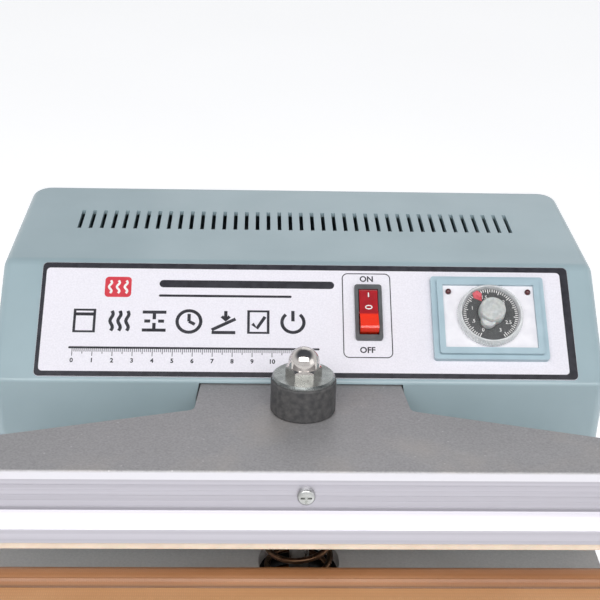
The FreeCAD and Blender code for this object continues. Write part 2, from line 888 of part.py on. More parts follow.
def cable_gland():
    """The gland in the rear wall, with a clear bore for the mains cable."""
    base = V(gland_x, housing_back, gland_z)
    nut_flange = rod(gland_thread + 3.5, base, Y_AXIS, 4)
    dome = Part.makeCone(gland_thread + 2.5, gland_thread, 9, base + V(0, 4, 0), Y_AXIS)
    stem = rod(gland_thread, base - V(0, housing_wall + 5, 0), Y_AXIS, housing_wall + 6)
    lock = ring(gland_thread + 3, gland_thread, base - V(0, housing_wall + 4, 0), Y_AXIS, 4)
    body = nut_flange.fuse([dome, stem, lock])
    return body.cut(rod(gland_bore, base - V(0, 20, 0), Y_AXIS, 40))


# ---- control panel ----
plate_s = nameplate_from_edge + nameplate_height / 2


def nameplate():
    """The thin plate on the sloping panel, cut out for the switch and the timer."""
    plate = panel_rounded(nameplate_shift, plate_s, nameplate_width, nameplate_height,
                          0, nameplate_thickness, 2.5)
    plate = plate.cut(panel_box(switch_x, switch_s, switch_width - 1.4, switch_height - 3, -1, 3))
    return plate.cut(panel_box(timer_x, timer_s, timer_step_width - 7, timer_step_height - 7, -1, 3))


def rocker_pins(radius, reach):
    """The round pins on the rocker's sides, or their holes."""
    return rod(radius, rocker_axis() - V(reach, 0, 0), X_AXIS, 2 * reach)


def switch_body():
    """The switch's frame on the panel with its body behind, open at the top for the rocker."""
    rim = panel_rounded(switch_x, switch_s, switch_width, switch_height,
                        nameplate_thickness, nameplate_thickness + switch_rim, 1.5)
    body = panel_box(switch_x, switch_s, switch_width - 1.8, switch_height - 3.4,
                     -switch_body_depth, nameplate_thickness + 0.5)
    whole = rim.fuse(body)
    pocket = panel_box(switch_x, switch_s, rocker_width + 0.8, rocker_length + 1.6, -13.4, 6)
    whole = whole.cut(pocket).cut(rocker_pins(rocker_pin_radius + 0.06, rocker_pin_reach + 0.1))
    tabs = [panel_box(switch_x, switch_s + o, 0.8, 5, -switch_body_depth - 5, -switch_body_depth + 1)
            for o in (-8, 0, 8)]
    return whole.fuse(tabs)


def rocker_axis():
    """The rocker's pivot point on the panel, and the direction of its axis."""
    return on_panel(Part.Vertex(V(switch_x, switch_s, rocker_pivot_depth))).Point


def rocker():
    """The red rocker, drawn level and then tipped so that its upper end is down."""
    half = rocker_length / 2
    top = nameplate_thickness + switch_rim + 2.6
    dip = top - 1.5
    outline = [(-half, dip - 1.2), (-half, top - 0.4), (-half + 1.0, top), (-half / 2, dip + 0.5),
               (0, dip),
               (half / 2, dip + 0.5), (half - 1.0, top), (half, top - 0.4), (half, dip - 1.2)]
    under = [(rocker_radius * math.cos(math.radians(a)) * half / rocker_radius,
              rocker_pivot_depth + 0.5 - 9.5 * math.sin(math.radians(a))) for a in range(0, 181, 20)]
    outline += [(s, n) for s, n in under]
    corners = [V(0, s, n) for s, n in outline]
    face = Part.Face(Part.makePolygon(corners + corners[:1]))
    body = face.extrude(V(rocker_width, 0, 0))
    body.translate(V(-rocker_width / 2, 0, 0))
    body = turned(body, V(0, 0, rocker_pivot_depth), X_AXIS, -rocker_tilt)
    body.translate(V(switch_x, switch_s, 0))
    return on_panel(body).fuse(rocker_pins(rocker_pin_radius, rocker_pin_reach))


bezel_low = nameplate_thickness
step_low = bezel_low + timer_bezel_thickness
face_high = step_low + timer_step_thickness - timer_recess


def timer_bezel():
    """The timer's frame on the panel, with its raised inner step."""
    frame = panel_rounded(timer_x, timer_s, timer_bezel_width, timer_bezel_height, bezel_low,
                          step_low, 1.5)
    step = panel_rounded(timer_x, timer_s, timer_step_width, timer_step_height,
                         step_low, step_low + timer_step_thickness, 1.2)
    hole = panel_box(timer_x, timer_s, timer_face_width, timer_face_height, -2, 12)
    return frame.fuse(step).cut(hole)


dial_y = timer_s


def timer_face():
    """The flat front of the timer, with the hole for its spindle and for two lamps."""
    face = panel_box(timer_x, timer_s, timer_face_width - 0.1, timer_face_height - 0.1, 1.0, face_high)
    face = face.cut(on_panel(rod(spindle_radius + 1.5, V(timer_x, dial_y, -3), Z_AXIS, 12)))
    for side in (-1, 1):
        lamp = V(timer_x + side * lamp_out, timer_s + lamp_up, -3)
        face = face.cut(on_panel(rod(lamp_radius + 0.05, lamp, Z_AXIS, 12)))
    return face


def timer_lamps():
    """The two small lamps at the face's upper corners."""
    lamps = []
    for side in (-1, 1):
        base = V(timer_x + side * lamp_out, timer_s + lamp_up, 1.0)
        barrel = rod(lamp_radius, base, Z_AXIS, face_high - 0.7)
        dome = Part.makeSphere(lamp_radius, base + V(0, 0, face_high - 0.7))
        lamps.append(on_panel(barrel.fuse(dome)))
    return Part.makeCompound(lamps)


def timer_body():
    """The timer's case behind the panel, with the spindle's socket."""
    body = panel_box(timer_x, timer_s, timer_step_width - 8, timer_step_height - 8,
                     -timer_body_depth, 1.0)
    bore = on_panel(rod(spindle_radius + 1.5, V(timer_x, dial_y, -7), Z_AXIS, 12))
    socket = panel_box(timer_x, timer_s, timer_step_width - 14, timer_step_height - 14,
                       -timer_body_depth - 9, -timer_body_depth)
    return body.cut(bore).fuse(socket)


dial_low = face_high + 0.6
lobe_angle = math.radians(-105)


def lobe_place(high):
    """The middle of the small tail on the knob's side."""
    return V(timer_x + lobe_reach * math.cos(lobe_angle),
             dial_y + lobe_reach * math.sin(lobe_angle), high)


def timer_dial():
    """The turning dial: a clear cup over the fixed scale, with a knob on top and a spindle below."""
    centre = V(timer_x, dial_y, 0)
    under = dial_low + dial_height - dial_top_plate
    cup = rod(dial_radius, centre + V(0, 0, dial_low), Z_AXIS, dial_height)
    cup = cup.cut(rod(scale_radius + 0.6, centre + V(0, 0, dial_low - 1), Z_AXIS, under - dial_low + 1))
    for i in range(48):
        a = math.radians(i * 7.5)
        place = centre + V(dial_radius * math.cos(a), dial_radius * math.sin(a), dial_low - 1)
        cup = cup.cut(rod(0.55, place, Z_AXIS, dial_height + 2))
    top = dial_low + 1 + knob_height
    knob = Part.makeCone(knob_radius, knob_radius - 0.8, top - under, centre + V(0, 0, under), Z_AXIS)
    lobe = rod(lobe_radius, lobe_place(under), Z_AXIS, top - 2.5 - under)
    spindle = rod(spindle_radius, centre + V(0, 0, -4), Z_AXIS, under + 4.5)
    return on_panel(cup.fuse([knob, lobe, spindle]))


def timer_scale():
    """The fixed black disc on the timer's face, under the clear cup."""
    return on_panel(ring(scale_radius, spindle_radius + 1.5, V(timer_x, dial_y, face_high),
                         Z_AXIS, scale_height))


# ---- inside the housing ----
core_base = deck_top + 5.0


def transformer_core():
    """Laminations with two windows for the winding."""
    y0 = core_y - core_depth / 2
    core = box(core_x - core_width / 2, core_x + core_width / 2, y0, y0 + core_depth,
               core_base, core_base + core_height)
    for side in (-1, 1):
        window_y = core_y + side * 17
        core = core.cut(box(core_x - core_width, core_x + core_width, window_y - 6, window_y + 6,
                            core_base + 10, core_base + core_height - 10))
    return core


def transformer_coil():
    """The winding round the middle limb."""
    outer = rounded_box(core_x - core_width / 2 - 12, core_x + core_width / 2 + 12, core_y - 22.5,
                        core_y + 22.5,
                        core_base + 10.5, core_base + core_height - 10.5, 6.0)
    limb = box(core_x - core_width / 2 - 0.1, core_x + core_width / 2 + 0.1, core_y - 11.2,
               core_y + 11.2,
               core_base, core_base + core_height)
    return outer.cut(limb)


def transformer_frame():
    """A U-shaped strap over the core with feet on the deck."""
    y0 = core_y - core_depth / 2
    y1 = core_y + core_depth / 2
    half = 18.0
    top = core_base + core_height
    strap = box(core_x - half, core_x + half, y0 - 1.6, y1 + 1.6, deck_top, top + 1.6)
    strap = strap.cut(box(core_x - half - 1, core_x + half + 1, y0, y1, deck_top - 1, top))
    feet = [box(core_x - half, core_x + half, y0 - 13, y0 - 1.6, deck_top, deck_top + 1.6),
            box(core_x - half, core_x + half, y1 + 1.6, y1 + 13, deck_top, deck_top + 1.6)]
    rails = box(core_x - half, core_x + half, y0, y1, deck_top, core_base)
    whole = strap.fuse(feet + [rails])
    for x, y in core_screw_places():
        whole = whole.cut(rod(2.0, V(x, y, deck_top - 1), Z_AXIS, 4))
    return whole


def core_screw_places():
    """Where the transformer's feet are screwed down."""
    return [(core_x + dx, core_y + dy * (core_depth / 2 + 7.5)) for dx in (-10, 10) for dy in (-1, 1)]


def transformer_bolts():
    """The screws through the transformer's feet."""
    return [pan_head_screw(V(x, y, deck_top + 1.6), Z_AXIS, 4.0, 2.8, 2.0, 1.5) for x,
            y in core_screw_places()]


def terminal_block():
    """A screw terminal strip on the deck."""
    block = box(block_x - 28, block_x + 28, block_y - 9, block_y + 9, deck_top, deck_top + 15)
    for i in range(5):
        x = block_x - 22 + i * 11
        block = block.cut(rod(2.2, V(x, block_y, deck_top + 9), Z_AXIS, 8))
        if i < 4:
            block = block.cut(box(x + 5, x + 6, block_y - 10, block_y + 10, deck_top + 9,
                                  deck_top + 16))
    return block


def wire_run(points, radius):
    """A round wire along straight runs with ball corners."""
    pieces = [rod(radius, a, (b - a).normalize(), (b - a).Length) for a, b in
              [(V(*p), V(*q)) for p, q in zip(points, points[1:])]]
    balls = [Part.makeSphere(radius, V(*p)) for p in points[1:-1]]
    return pieces[0].fuse(pieces[1:] + balls)


def jaw_leads():
    """The two leads from inside the housing, under the deck and up into the jaw bar's ends."""
    leads = []
    for side in (-1, 1):
        x = side * lead_x
        end_x = side * lead_end_x
        leads.append(wire_run([
            (x, wall_y + 14, deck_top + 9), (x, wall_y + 14, deck_bottom - 4), (x, lead_y,
                                                                                deck_bottom - 4),
            (x, lead_y, deck_top + 12), (end_x, lead_y, deck_top + 12), (end_x, lead_y,
                                                                         ledge_z + terminal_seat),
        ], lead_radius))
    return leads


def wiring():
    """The jaw's leads, and two wires between the transformer and the terminal strip."""
    coil_top = core_base + core_height - 6
    beside = core_x + core_width / 2 + 6
    rear = core_y + 22.5
    back_y = housing_back - 14
    low = deck_top + 5
    return Part.makeCompound(jaw_leads() + [
        wire_run([(beside, rear, coil_top - 10), (beside, back_y, coil_top - 10), (beside, back_y, low),
                  (block_x - 22, back_y, low), (block_x - 22, block_y + 9, low)], 1.4),
        wire_run([(beside + 4, rear, coil_top - 15), (beside + 4, back_y - 5, coil_top - 15),
                  (beside + 4, back_y - 5, low), (block_x - 11, back_y - 5, low),
                  (block_x - 11, block_y + 9, low)], 1.4),
    ])


# ---- hinge ----
bracket_top = hinge_z + 13.0


def hinge_bracket(side):
    """An angle bracket on the deck that holds one end of the hinge shaft."""
    x0 = side * bracket_inner
    x1 = side * bracket_outer
    x2 = side * (bracket_outer + 19)
    half = bracket_width / 2
    upright = box(min(x0, x1), max(x0, x1), hinge_y - half, hinge_y + half, deck_top, bracket_top)
    tops = edges_where(upright, lambda e: runs_along(e, X_AXIS) and e.CenterOfMass.z > bracket_top - 1)
    upright = upright.makeFillet(12.0, tops)
    tab = box(min(x1, x2), max(x1, x2), hinge_y - half, hinge_y + half, deck_top, deck_top + 7)
    bracket = upright.fuse(tab)
    bracket = bracket.cut(rod(shaft_radius, V(-200, hinge_y, hinge_z), X_AXIS, 400))
    for y in bracket_screw_ys:
        bracket = bracket.cut(rod(deck_screw_radius + 0.3, V(side * (bracket_outer + 10), y,
                                                             deck_top - 1), Z_AXIS, 9))
    return bracket


def bracket_screws():
    """Socket-head screws that hold the brackets down."""
    screws = []
    for side in (-1, 1):
        for y in bracket_screw_ys:
            seat = V(side * (bracket_outer + 10), y, deck_top + 7)
            head = rod(4.25, seat, Z_AXIS, 5)
            socket = hexagon(4.0, seat + V(0, 0, 2.4), 3)
            screws.append(head.cut(socket).fuse(rod(deck_screw_radius, seat - V(0, 0, 13), Z_AXIS,
                                                    13.2)))
    return screws


shaft_end = bracket_outer + 5.0


def hinge_shaft():
    """The fixed shaft, with its collars."""
    shaft = rod(shaft_radius, V(-shaft_end, hinge_y, hinge_z), X_AXIS, 2 * shaft_end)
    shaft = shaft.makeChamfer(0.8, [e for e in shaft.Edges if e.Curve.TypeId == "Part::GeomCircle"])
    return Part.makeCompound([shaft] + shaft_collars())


def shaft_collars():
    """Rings on the shaft beside each bracket, inside and out."""
    rings = []
    for side in (-1, 1):
        for low, high in ((bracket_outer, bracket_outer + 1.2), (hinge_block_half + 0.5,
                                                                 bracket_inner)):
            start = V(side * low if side > 0 else -high, hinge_y, hinge_z)
            rings.append(ring(shaft_radius + 3.2, shaft_radius, start, X_AXIS, high - low))
    return rings


bush_outer = shaft_radius + running_clearance + bush_wall


def hinge_block():
    """The block under the arm's neck that turns on the shaft."""
    y0 = hinge_y - hinge_block_depth / 2
    y1 = hinge_y + hinge_block_depth / 2
    block = box(-hinge_block_half, hinge_block_half, y0, y1, hinge_z - 12, plate_bottom_closed)
    low = edges_where(block, lambda e: runs_along(e, X_AXIS) and e.CenterOfMass.z < hinge_z - 11)
    block = block.makeFillet(7.0, low)
    block = block.cut(rod(bush_outer, V(-100, hinge_y, hinge_z), X_AXIS, 200))
    relief = box(-hinge_block_half + bush_length + 4, hinge_block_half - bush_length - 4, y0 - 1,
                 y1 + 1,
                 hinge_z - 13, hinge_z + 8.4)
    return swung_open(block.cut(relief))


def hinge_bushes():
    """The two bronze bushes in the hinge block."""
    rings = []
    for x in (-hinge_block_half, hinge_block_half - bush_length):
        rings.append(ring(bush_outer, shaft_radius + running_clearance, V(x, hinge_y, hinge_z),
                          X_AXIS, bush_length))
    return swung_open(Part.makeCompound(rings))


# ---- arm ----
plate_front = rib_front_y
wing_corner_y = wall_y - neck_from_wall
wing_end_y = plate_front + upper_bar_depth
wing_end_x = neck_half + (wing_corner_y - wing_end_y) / wing_slope


def arm_plate():
    """The flat plate: a wide wing over the jaw and a neck back to the hinge."""
    half_side = [(half_jaw, plate_front), (half_jaw, wing_end_y), (wing_end_x, wing_end_y),
                 (neck_half, wing_corner_y), (neck_back_half, wall_y), (neck_back_half,
                                                                        hinge_y + neck_tail)]
    outline = half_side + [(-x, y) for x, y in reversed(half_side)]
    plate = plan_shape(outline, plate_bottom_closed, plate_top_closed)
    inner_corner = edges_where(
        plate, lambda e: runs_along(e, Z_AXIS) and abs(abs(e.CenterOfMass.x) - neck_half) < 0.01
        and abs(e.CenterOfMass.y - wing_corner_y) < 0.01)
    plate = plate.makeFillet(neck_corner_radius, inner_corner)
    front = edges_where(
        plate, lambda e: runs_along(e, X_AXIS) and near(e, y=plate_front, z=plate_top_closed))
    plate = plate.makeFillet(plate_edge_radius, front)
    plate = plate.cut(rod(bolt_radius, V(0, bolt_y, plate_bottom_closed - 1), Z_AXIS,
                          plate_thickness + 2))
    for x in block_screw_xs:
        plate = plate.cut(rod(2.0, V(x, hinge_y, plate_bottom_closed - 1), Z_AXIS, plate_thickness + 2))
    return swung_open(plate)


def block_screws():
    """Screws through the neck into the hinge block."""
    return [pan_head_screw(V(x, hinge_y, plate_top_closed), Z_AXIS, 3.6, 2.2, 2.0,
                           plate_thickness - 0.4)
            for x in block_screw_xs]


def upper_jaw_bar():
    """The extruded bar under the wing, with a ribbed face and a foot for the silicone."""
    top = plate_bottom_closed
    foot_z = bar_bottom_closed + foot_lip
    outline = [
        (rib_front_y, top), (rib_front_y, foot_z + foot_slope + 1.2), (rib_front_y - 0.5,
                                                                       foot_z + foot_slope),
        (foot_front_y, foot_z), (foot_front_y, bar_bottom_closed), (bar_back_y, bar_bottom_closed),
        (bar_back_y, top),
    ]
    bar = side_shape(outline, -half_jaw, half_jaw)
    hollow = box(-half_jaw - 1, half_jaw + 1, rib_front_y + 2.4, bar_back_y - 2.4,
                 bar_bottom_closed + silicone_depth + 3.0, top - 3.0)
    bar = bar.cut(hollow)
    slot = box(-half_jaw - 1, half_jaw + 1, silicone_front, silicone_front + silicone_width,
               bar_bottom_closed - 1, bar_bottom_closed + silicone_depth)
    bar = bar.cut(slot)
    for i in range(groove_count):
        z = top - 2.4 - i * groove_pitch
        bar = bar.cut(box(-half_jaw - 1, half_jaw + 1, rib_front_y - 1, rib_front_y + groove_depth,
                          z - groove_width / 2, z + groove_width / 2))
    for x in jaw_screw_xs:
        bar = bar.cut(rod(2.0, V(x, rib_front_y - 4, jaw_screw_z), Y_AXIS, 9))
    return swung_open(bar)


silicone_front = foot_front_y + 0.9
jaw_screw_z = plate_top_closed - 12.1


def silicone_strip():
    """The soft strip in the upper bar's foot that presses the bag."""
    strip = box(-half_jaw, half_jaw, silicone_front, silicone_front + silicone_width,
                bar_bottom_closed - silicone_proud, bar_bottom_closed + silicone_depth)
    low = edges_where(strip,
                      lambda e: runs_along(e, X_AXIS) and e.CenterOfMass.z < bar_bottom_closed - 1)
    return swung_open(strip.makeFillet(0.7, low))


def arm_screws():
    """Cross-recess screws in the front of the upper jaw bar, and those over the hinge block."""
    screws = [pan_head_screw(V(x, rib_front_y, jaw_screw_z), V(0, -1, 0), 4.0, 2.6, 2.0, 5.0)
              for x in jaw_screw_xs]
    return swung_open(Part.makeCompound(screws + block_screws()))


# ---- pull bolt ----
def bumper():
    """The rubber cylinder on the arm that the bolt's nut presses on."""
    body = rod(bumper_radius, V(0, bolt_y, plate_top_closed), Z_AXIS, bumper_height)
    body = body.makeFillet(1.2, [e for e in body.Edges if e.Curve.TypeId == "Part::GeomCircle"])
    return swung_open(body.cut(rod(bolt_radius, V(0, bolt_y, plate_top_closed - 1), Z_AXIS,
                                   bumper_height + 2)))


def bumper_washer():
    """The steel washer between the bumper and the nut."""
    z = plate_top_closed + bumper_height
    disc = rod(bumper_radius - 0.6, V(0, bolt_y, z), Z_AXIS, washer_thickness)
    disc = disc.makeChamfer(0.8, [e for e in disc.Edges if e.Curve.TypeId == "Part::GeomCircle"
                                  and e.CenterOfMass.z > z + 0.1])
    return swung_open(disc.cut(rod(bolt_radius, V(0, bolt_y, z - 1), Z_AXIS, washer_thickness + 2)))


nut_base = plate_top_closed + bumper_height + washer_thickness


def acorn_nut():
    """The domed nut on the pull bolt's top."""
    base = V(0, bolt_y, nut_base)
    hexa = hexagon(nut_across_flats, base, nut_hex_height)
    flat = nut_across_flats / 2 + 0.1
    limit = Part.makeCone(flat + nut_hex_height * 0.9, flat, nut_hex_height, base, Z_AXIS)
    dome = rod(nut_dome_radius, base, Z_AXIS, nut_hex_height + 1.6)
    cap = Part.makeSphere(nut_dome_radius, base + V(0, 0, nut_hex_height + 1.6))
    whole = hexa.common(limit).fuse([dome, cap])
    whole = whole.common(box(-20, 20, bolt_y - 20, bolt_y + 20, nut_base, nut_base + 40))
    whole = whole.cut(rod(bolt_radius, base - V(0, 0, 1), Z_AXIS, nut_hex_height + 2))
    return swung_open(whole)


def pull_bolt():
    """The stud from the acorn nut down through the deck to its clevis, with two lock nuts."""
    top = nut_base + nut_hex_height + 0.8
    fork_top = clevis_z_closed + 16
    stud = rod(bolt_radius, V(0, bolt_y, fork_top - 4), Z_AXIS, top - fork_top + 4)
    fork = rounded_box(-11, 11, bolt_y - 9, bolt_y + 9, clevis_z_closed - 9, fork_top, 3.0)
    gap = box(-clevis_gap / 2, clevis_gap / 2, bolt_y - 12, bolt_y + 12, clevis_z_closed - 12,
              clevis_z_closed + 8.5)
    fork = fork.cut(gap)
    bolt = stud.fuse(fork).cut(rod(clevis_pin_radius, V(-20, bolt_y, clevis_z_closed), X_AXIS, 40))
    nuts = []
    for z in (plate_bottom_closed - 6.0, clevis_z_closed + 16):
        nuts.append(hexagon(nut_across_flats, V(0, bolt_y, z), 6.0).cut(
            rod(bolt_radius, V(0, bolt_y, z - 1), Z_AXIS, 8)))
    return swung_open(Part.makeCompound([bolt] + nuts))


def clevis_pin():
    """The pin through the bolt's fork and the rod's upper eye."""
    pin = rod(clevis_pin_radius, V(-14.5, bolt_y, clevis_z_closed), X_AXIS, 29.0)
    head = rod(clevis_pin_radius + 2, V(-13.2, bolt_y, clevis_z_closed), X_AXIS, 2.0)
    far = rod(clevis_pin_radius + 2, V(11.2, bolt_y, clevis_z_closed), X_AXIS, 2.0)
    return swung_open(pin.fuse([head, far]))


# ---- rod ----


def pull_rod():
    """The long rod between the clevis and the pedal, with a flat eye at each end."""
    top = clevis_rest
    low = link_rest
    length = (top - low).Length
    eye_up = rod(eye_radius, V(-eye_half, 0, length), X_AXIS, 2 * eye_half)
    eye_low = rod(eye_radius, V(-eye_half, 0, 0), X_AXIS, 2 * eye_half)
    neck_up = rounded_box(-eye_half, eye_half, -6, 6, length - 20, length, 1.5)
    neck_low = rounded_box(-eye_half, eye_half, -6, 6, 0, 22, 1.5)
    stem = rod(rod_radius, V(0, 0, 16), Z_AXIS, length - 32)
    body = stem.fuse([eye_up, eye_low, neck_up, neck_low])
    body = body.cut(rod(clevis_pin_radius + running_clearance, V(-20, 0, length), X_AXIS, 40))
    body = body.cut(rod(clevis_pin_radius + link_play, V(-20, 0, 0), X_AXIS, 40))
    return along_rod(Part.makeCompound([body] + rod_coupler()))


def along_rod(shape):
    """Moves a piece drawn up +Z from the lower eye into its place."""
    copy = turned(shape, V(0, 0, 0), X_AXIS, -rod_tilt)
    copy.translate(link_rest)
    return copy


def rod_coupler():
    """A long adjusting nut with two lock nuts in the middle of the rod."""
    nuts = [hexagon(17.0, V(0, 0, 290), 40.0), hexagon(17.0, V(0, 0, 283.6), 6.0), hexagon(17.0,
                                                                                           V(0, 0,
                                                                                             330.4), 6.0)]
    hole = rod(rod_radius, V(0, 0, 200), Z_AXIS, 300)
    return [n.cut(hole) for n in nuts]


# ---- pedal ----
def pedal_frame(shape):
    """Moves a piece drawn level (y from the pivot, z from the pivot) to the pedal's rest position."""
    copy = turned(shape, V(0, 0, 0), X_AXIS, -pedal_half_travel)
    copy.translate(pivot)
    return copy


pedal_bush_outer = pedal_pivot_radius + running_clearance + bush_wall


def pedal_lever():
    """Two flat bars side by side, joined by a tube at the pivot."""
    half = cheek_half
    bars = []
    for side in (-1, 1):
        x0 = side * half
        x1 = side * (half + pedal_bar_thickness)
        back = -pedal_reach + tread_depth / 2
        outline = [(10, -11), (13, 0), (10, 11), (-30, 13), (back + 2, tread_low),
                   (-pedal_reach - 30, tread_low),
                   (-pedal_reach - 30, -5), (-60, -13)]
        bars.append(side_shape(outline, min(x0, x1), max(x0, x1)))
    tube_part = rod(pedal_bush_outer + 3.2, V(-half - 1, 0, 0), X_AXIS, 2 * half + 2)
    spacer = box(-half - 1, half + 1, -pedal_reach + 50, -pedal_reach + 62, -6, 4)
    lever = bars[0].fuse([bars[1], tube_part, spacer])
    lever = lever.cut(rod(pedal_bush_outer, V(-40, 0, 0), X_AXIS, 80))
    lever = lever.cut(rod(clevis_pin_radius, V(-40, -pedal_pin_reach, 0), X_AXIS, 80))
    reach = cheek_half + pedal_bar_thickness
    bush = ring(pedal_bush_outer, pedal_pivot_radius + running_clearance, V(-reach, 0, 0), X_AXIS,
                2 * reach)
    return pedal_frame(Part.makeCompound([lever, bush]))


def pedal_link_pin():
    """The pin through the rod's lower eye and the pedal lever."""
    half = cheek_half + pedal_bar_thickness
    pin = rod(clevis_pin_radius, V(-half - 3.5, -pedal_pin_reach, 0), X_AXIS, 2 * half + 7)
    heads = [rod(clevis_pin_radius + 2, V(x, -pedal_pin_reach, 0), X_AXIS, 2.2)
             for x in (-half - 2.4, half + 0.2)]
    return pedal_frame(pin.fuse(heads))


def pedal_tread():
    """The steel foot plate on the lever's end, with a turned-up rear edge."""
    y0 = -pedal_reach - tread_depth / 2
    y1 = -pedal_reach + tread_depth / 2
    plate = rounded_box(-tread_width / 2, tread_width / 2, y0, y1, tread_low,
                        tread_low + tread_thickness, 12.0)
    return pedal_frame(plate)


def tread_mat():
    """A ribbed rubber mat on the foot plate."""
    top = tread_low + tread_thickness
    y0 = -pedal_reach - tread_depth / 2 + 4
    y1 = -pedal_reach + tread_depth / 2 - 4
    mat = rounded_box(-tread_width / 2 + 4, tread_width / 2 - 4, y0, y1, top,
                      top + tread_rubber - 2.5, 9.0)
    ribs = [box(-tread_width / 2 + 12, tread_width / 2 - 12, y0 + 7 + i * 9.0, y0 + 11 + i * 9.0,
                top + tread_rubber - 2.6, top + tread_rubber) for i in range(8)]
    return pedal_frame(mat.fuse(ribs))


bracket_half = cheek_half + pedal_bar_thickness + 1.5


def pedal_bracket():
    """A U-shaped bracket on the column's front face that carries the pedal's pivot."""
    face = column_y - column_size / 2
    front = pivot.y - 13
    low = pedal_pivot_height - 19
    high = pedal_pivot_height + 19
    cheeks = []
    for side in (-1, 1):
        x0 = side * bracket_half
        x1 = side * (bracket_half + bracket_plate)
        cheek = box(min(x0, x1), max(x0, x1), front, face, low, high)
        ends = edges_where(cheek, lambda e: runs_along(e, X_AXIS) and e.CenterOfMass.y < front + 0.1)
        cheeks.append(cheek.makeFillet(9.0, ends))
    web = box(-bracket_half - bracket_plate, bracket_half + bracket_plate, face - bracket_plate,
              face, low, high)
    bracket = web.fuse(cheeks)
    return bracket.cut(rod(pedal_pivot_radius, V(-50, pivot.y, pivot.z), X_AXIS, 100))


def pedal_pivot_bolt():
    """The bolt that the pedal lever turns on."""
    half = bracket_half + bracket_plate
    shaft = rod(pedal_pivot_radius, V(-half - 8, pivot.y, pivot.z), X_AXIS, 2 * half + 14)
    head = turned(hexagon(15.0, V(0, 0, 0), 6.0), V(0, 0, 0), Y_AXIS, 90)
    head.translate(V(half, pivot.y, pivot.z))
    nut = turned(hexagon(15.0, V(0, 0, 0), 6.0), V(0, 0, 0), Y_AXIS, 90)
    nut.translate(V(-half - 6, pivot.y, pivot.z))
    shaft = shaft.common(box(-half - 8, half + 3, -200, 200, 0, 300))
    return shaft.fuse([head, nut])


# ---- limit switch ----
limit_y = hinge_y - 46.0


def limit_pivot():
    """The lever's pivot, in front of the point where its tip meets the arm."""
    rest = neck_under(limit_y)
    return V(limit_x, limit_y - limit_reach + 1.5, rest - limit_drop)


def neck_under(y):
    """The height of the neck's underside at rest, at a distance in front of the hinge."""
    ahead = hinge_y - y
    drop = hinge_below_plate - plate_thickness
    return hinge_z + ahead * math.tan(swing) + drop / math.cos(swing)


def limit_switch():
    """A small snap switch on a post, with a slot for its lever."""
    p = limit_pivot()
    body = box(p.x - 5, p.x + 5, p.y - 6, p.y + 22, p.z - 17, p.z - 2.9)
    ears = [box(p.x + s * 3.4 - 1.4, p.x + s * 3.4 + 1.4, p.y - 4, p.y + 4, p.z - 4, p.z + 3)
            for s in (-1, 1)]
    post = box(p.x - 5, p.x + 5, p.y - 2, p.y + 18, deck_top + 3, p.z - 17)
    foot_part = box(p.x - 5, p.x + 16, p.y - 2, p.y + 18, deck_top, deck_top + 3)
    whole = body.fuse(ears + [post, foot_part])
    whole = whole.cut(rod(1.2, V(p.x - 8, p.y, p.z), X_AXIS, 16))
    return Part.makeCompound([whole, rod(1.2, V(p.x - 4.8, p.y, p.z), X_AXIS, 9.6)])


def limit_lever():
    """The lever that the neck pushes down as the jaw closes."""
    p = limit_pivot()
    tip_y = p.y + limit_reach - 1.5
    tip_z = neck_under(tip_y) - 3.0
    eye = rod(2.4, V(p.x - 1.7, p.y, p.z), X_AXIS, 3.4)
    roller = rod(2.4, V(p.x - 1.7, tip_y, tip_z), X_AXIS, 3.4)
    blade = side_shape([(p.y - 0.8, p.z + 0.6), (p.y, p.z - 0.6), (tip_y + 0.6, tip_z - 0.6),
                        (tip_y - 0.6, tip_z + 0.6)], p.x - 1.7, p.x + 1.7)
    lever = blade.fuse([eye, roller])
    return lever.cut(rod(1.2 + running_clearance, V(p.x - 8, p.y, p.z), X_AXIS, 16))


PIECES = {
    "base_feet": lambda: both_sides(foot),
    "foot_pads": foot_pads,
    "foot_end_caps": foot_end_caps,
    "cross_tube": cross_tube,
    "column": column,
    "head_plate": head_plate,
    "frame_bolts": frame_bolts,
    "deck_plate": deck_plate,
    "spring_seat": spring_seat,
    "return_spring": return_spring,
    "lower_jaw_bar": lower_jaw_bar,
    "heater_insulators": insulators,
    "heating_band": heating_band,
    "ptfe_cover": ptfe_cover,
    "ptfe_clamps": ptfe_clamps,
    "clamp_screws": clamp_screws,
    "heater_terminals": lambda: both_sides(heater_terminal),
    "housing": housing,
    "housing_clips": housing_clips,
    "back_cover": back_cover,
    "housing_screws": housing_screws,
    "cable_gland": cable_gland,
    "nameplate": nameplate,
    "switch_body": switch_body,
    "rocker": rocker,
    "timer_bezel": timer_bezel,
    "timer_face": timer_face,
    "timer_lamps": timer_lamps,
    "timer_body": timer_body,
    "timer_dial": timer_dial,
    "timer_scale": timer_scale,
    "transformer_core": transformer_core,
    "transformer_coil": transformer_coil,
    "transformer_frame": transformer_frame,
    "terminal_block": terminal_block,
    "wiring": wiring,
    "hinge_brackets": lambda: both_sides(hinge_bracket),
    "deck_screws": lambda: Part.makeCompound(bracket_screws() + transformer_bolts()),
    "hinge_shaft": hinge_shaft,
    "hinge_block": hinge_block,
    "hinge_bushes": hinge_bushes,
    "arm_plate": arm_plate,
    "upper_jaw_bar": upper_jaw_bar,
    "silicone_strip": silicone_strip,
    "arm_screws": arm_screws,
    "bumper": bumper,
    "bumper_washer": bumper_washer,
    "acorn_nut": acorn_nut,
    "pull_bolt": pull_bolt,
    "clevis_pin": clevis_pin,
    "pull_rod": pull_rod,
    "pedal_lever": pedal_lever,
    "pedal_link_pin": pedal_link_pin,
    "pedal_tread": pedal_tread,
    "tread_mat": tread_mat,
    "pedal_bracket": pedal_bracket,
    "pedal_pivot_bolt": pedal_pivot_bolt,
    "limit_switch": limit_switch,
    "limit_lever": limit_lever,
}

